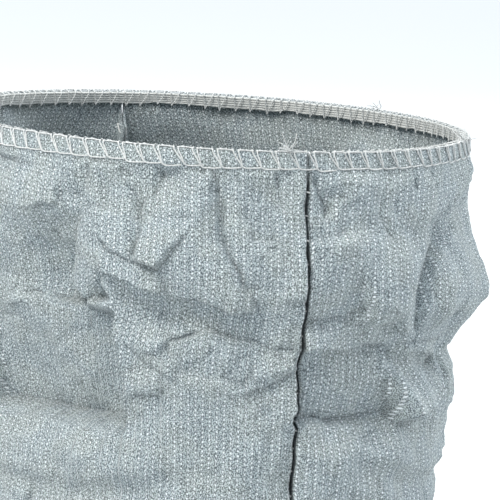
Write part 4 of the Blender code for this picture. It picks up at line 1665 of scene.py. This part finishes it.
@dataclass
class SheetSole:
    """The coated sheet sole, curled up round its edge, with its margin turned in under the upper's."""

    form: CoverForm
    sheet: float = 1.2
    turn_up: float = 10.0
    margin: float = 4.0
    gap: float = 0.15
    columns: int = 520
    under_rows: int = 26
    turn_rows: int = 16
    inner_rows: int = 8
    middle_share: float = 0.985
    fold_round: float = 0.35
    pleat: float = 0.28
    pleat_counts: tuple[int, int] = (130, 57)
    stitch_pitch: float = 5.0
    thread_radius: float = 0.17
    seed: int = 5

    def outline(self, count: int) -> tuple[Array, Array]:
        """The whole foot outline.

        Args:
            count: Number of points.

        Returns:
            Points and outward level normals.
        """
        points, normals, girth = self.form.half_outline(self.form.foot_rise)
        ring, facing = (np.concatenate([half, (half * (1, -1, 1))[-2:0:-1], half[:1]])
                        for half in (points, normals))
        run = np.concatenate([girth, 2 * girth[-1] - girth[-2:0:-1], [2 * girth[-1]]])
        at = np.linspace(0, run[-1], count, endpoint=False)
        return pick(at, run, ring), unit(pick(at, run, facing))

    def loop(self, inset: float, height: Array, pleats: float = 0.0) -> Array:
        """The outline drawn in and set at a height.

        Args:
            inset: How far in.
            height: Height of each point.
            pleats: Share of the small pleats of the turned edge.

        Returns:
            The loop.
        """
        points, normals = self.outline(self.columns)
        around = np.arange(self.columns) / self.columns * TURN
        fine, broad = self.pleat_counts
        wave = np.cos(around * fine) * normals[:, 0] ** 2 + 0.5 * np.cos(around * broad + 1.0)
        loop = points - normals * (inset + self.pleat * pleats * (wave + 1.0))[:, None]
        loop[:, 2] = height
        return loop

    def build(self, finish: Material) -> None:
        """Builds and dresses the sole: its underside, turned edge, margin and inside, in turn.

        Args:
            finish: The sheet's finish.
        """
        rim = self.outline(self.columns)[0][:, 2] - self.gap
        flat = self.loop(self.turn_up, np.zeros(self.columns))
        under = np.linspace(self.middle_share, 0.0, self.under_rows)
        loops = [flat * (1 - share) + flat * (1, 0, 1) * share for share in under]
        for turn in np.linspace(0, math.pi / 2, self.turn_rows)[1:]:
            pleats = math.sin(2 * turn) if turn < math.pi / 2 else 0.0
            loops.append(self.loop(self.turn_up * (1 - math.sin(turn)), rim * (1 - math.cos(turn)), pleats))
        for inset, height in ((self.fold_round, rim), (self.margin, rim), (self.margin, rim - self.sheet)):
            loops.append(self.loop(inset, height))
        for turn in np.linspace(math.pi / 2, 0, self.turn_rows // 2):
            inset = self.sheet + (self.turn_up - self.sheet) * (1 - math.sin(turn))
            loops.append(self.loop(inset, self.sheet + (rim - 2 * self.sheet) * (1 - math.cos(turn))))
        inner = loops[-1]
        for share in np.linspace(0, self.middle_share, self.inner_rows)[1:]:
            loops.append(inner * (1 - share) + inner * (1, 0, 1) * share)
        points = np.stack(loops)
        draft = MeshDraft(SoleFinish.uv_map)
        ids = draft.add_points(points, points[:, :, :2].copy())
        draft.add_grid(ids, wrap=True)
        # The caps of underside and inside leave out slivers of hundredths of a millimetre at heel and toe
        for row in (ids[0].tolist(), ids[-1].tolist()):
            for k in range(1, len(row) // 2 - 1):
                draft.faces.append((row[k], row[k + 1], row[-k - 1], row[-k]))
        draft.piece("sheet_sole", finish, Slot.SOLE, "sole")

    def build_stitches(self, finish: Material) -> None:
        """Bars of thread across the seam between upper and sole.

        Args:
            finish: The thread.
        """
        rng = np.random.default_rng(self.seed)
        draft = MeshDraft(ThreadFinish.uv_map)
        length = 2 * self.form.half_outline(self.form.foot_rise)[2][-1]
        points, normals = self.outline(round(length / self.stitch_pitch))
        t = np.linspace(-1, 1, 7)[:, None]
        push = 0.12 - np.maximum(np.abs(t) - 0.7, 0)
        along = unit(np.roll(points, -1, 0) - np.roll(points, 1, 0))
        for point, normal, run in zip(points, normals, along):
            path = point + normal * push + UP * t + run * (t * 0.3 + rng.normal(0, 0.2))
            draft.add_tube(path, self.thread_radius, 6)
        draft.piece("sole_seam_stitches", finish, Slot.THREAD)


class Lamp(NamedTuple):
    """A soft square light: where it hangs and what it faces, in metres, its side, watts and colour."""

    name: str
    place: tuple[float, float, float]
    aim: tuple[float, float, float]
    size: float
    watts: float
    colour: tuple[float, float, float]


@dataclass
class Studio:
    """Pale floor, soft light and the camera at the photograph's viewing angle.

    The floor, the lamps and the camera's clip distances are in metres.
    """

    turn: float = 19.7
    elevation: float = 5.7
    roll: float = 2.94
    distance: float = 650.0
    focal_pixels: float = 2923.7
    frame_pixels: float = 500.0
    sensor: float = 36.0
    clip: tuple[float, float] = (0.01, 60.0)
    collar_pixel: tuple[float, float] = (207.9, 119.4)
    collar_middle: tuple[float, float, float] = (-90.3, 0.0, 245.0)
    floor_half: float = 20.0
    floor_drop: float = 0.0004
    room_edge: tuple[float, float] = (0.1, 0.95)
    room_light: tuple[float, float] = (0.15, 1.45)
    room_colour: tuple[float, float, float, float] = (0.91, 0.97, 1.03, 1.0)
    lamps: tuple[Lamp, ...] = (
        Lamp("key", (-0.72, 1.19, 1.81), (-0.09, 0.0, 0.2), 0.7, 37.6, (1.0, 0.965, 0.905)),
        Lamp("fill", (0.1, -1.85, 1.15), (-0.09, 0.0, 0.2), 0.9, 22.6, (0.97, 0.99, 0.99)),
        Lamp("front fill", (1.5, -0.9, 1.5), (0.05, 0.0, 0.12), 1.2, 8.0, (1.0, 0.965, 0.905)),
    )

    def build_camera(self) -> None:
        """The camera behind the cover, to its left, close on the collar."""
        turn, rise, roll = (math.radians(v) for v in (self.turn, self.elevation, self.roll))
        back = Vector((-math.cos(turn) * math.cos(rise), math.sin(turn) * math.cos(rise), math.sin(rise)))
        forward = -back
        level = forward.cross(Vector((0, 0, 1))).normalized()
        upright = level.cross(forward)
        right = level * math.cos(roll) + upright * math.sin(roll)
        above = upright * math.cos(roll) - level * math.sin(roll)
        off_x, off_y = ((self.frame_pixels / 2 - pixel) / self.focal_pixels for pixel in self.collar_pixel)
        aim = (forward + right * off_x - above * off_y).normalized()
        right = (right - aim * right.dot(aim)).normalized()
        data = bpy.data.cameras.new("photo_view")
        data.sensor_width = self.sensor
        data.lens = self.focal_pixels / self.frame_pixels * self.sensor
        data.clip_start, data.clip_end = self.clip
        camera = bpy.data.objects.new("photo_view", data)
        axes = Matrix((right, right.cross(aim), -aim)).transposed().to_4x4()
        place = (Vector(self.collar_middle) + back * self.distance) * MM
        camera.matrix_world = Matrix.Translation(place) @ axes
        bpy.context.scene.collection.objects.link(camera)
        bpy.context.scene.camera = camera

    def build_floor(self) -> None:
        """The pale floor, with its pool of painted shade."""
        half = self.floor_half
        mesh = bpy.data.meshes.new("floor")
        corners = ((-half, -half), (half, -half), (half, half), (-half, half))
        mesh.from_pydata([(*corner, -self.floor_drop) for corner in corners], [], [(0, 1, 2, 3)])
        mesh.materials.append(FloorFinish().material())
        floor = bpy.data.objects.new("floor", mesh)
        bpy.context.scene.collection.objects.link(floor)

    def build_lights(self) -> None:
        """A soft key from above the camera's left, weaker fills, and a room that is brighter overhead."""
        for lamp in self.lamps:
            data = bpy.data.lights.new(lamp.name, "AREA")
            data.shape, data.size, data.energy, data.color = "SQUARE", lamp.size, lamp.watts, lamp.colour
            light = bpy.data.objects.new(lamp.name, data)
            light.location = lamp.place
            light.rotation_mode = "QUATERNION"
            light.rotation_quaternion = (Vector(lamp.aim) - Vector(lamp.place)).to_track_quat("-Z", "Y")
            light.visible_camera = False
            bpy.context.scene.collection.objects.link(light)
        bench = NodeBench(bpy.data.worlds.new("soft_room"))
        height = bench.add("SeparateXYZ", "Z", {0: bench.add("TexCoord", "Generated", {})})
        strength = bench.ramp(height, *self.room_edge, *self.room_light)
        bpy.context.scene.world = bench.finish("Background", Color=self.room_colour, Strength=strength)
        bpy.context.scene.view_settings.view_transform = "Standard"


def main() -> None:
    """Builds the cover piece by piece, and the studio round it."""
    logging.basicConfig(level=logging.INFO, format="%(name)s: %(message)s")
    form = CoverForm()
    crumple = CrumpleMap(form.collar_half_girth())
    cloth, thread = ClothFinish().material(), ThreadFinish().material()
    shell = Shell(*(SidePanel(form, crumple, side) for side in Side))
    shell.left.build(cloth)
    shell.right.build(cloth)
    collar = Collar(shell, thread, ElasticFinish().material())
    collar.build_overlock()
    collar.build_elastic()
    collar.build_tufts()
    seams = SeamThreads(shell, thread)
    seams.build_bars()
    seams.build_allowances()
    sole = SheetSole(form)
    sole.build(SoleFinish().material())
    sole.build_stitches(thread)
    studio = Studio()
    studio.build_camera()
    studio.build_floor()
    studio.build_lights()


if __name__ == "__main__":
    main()
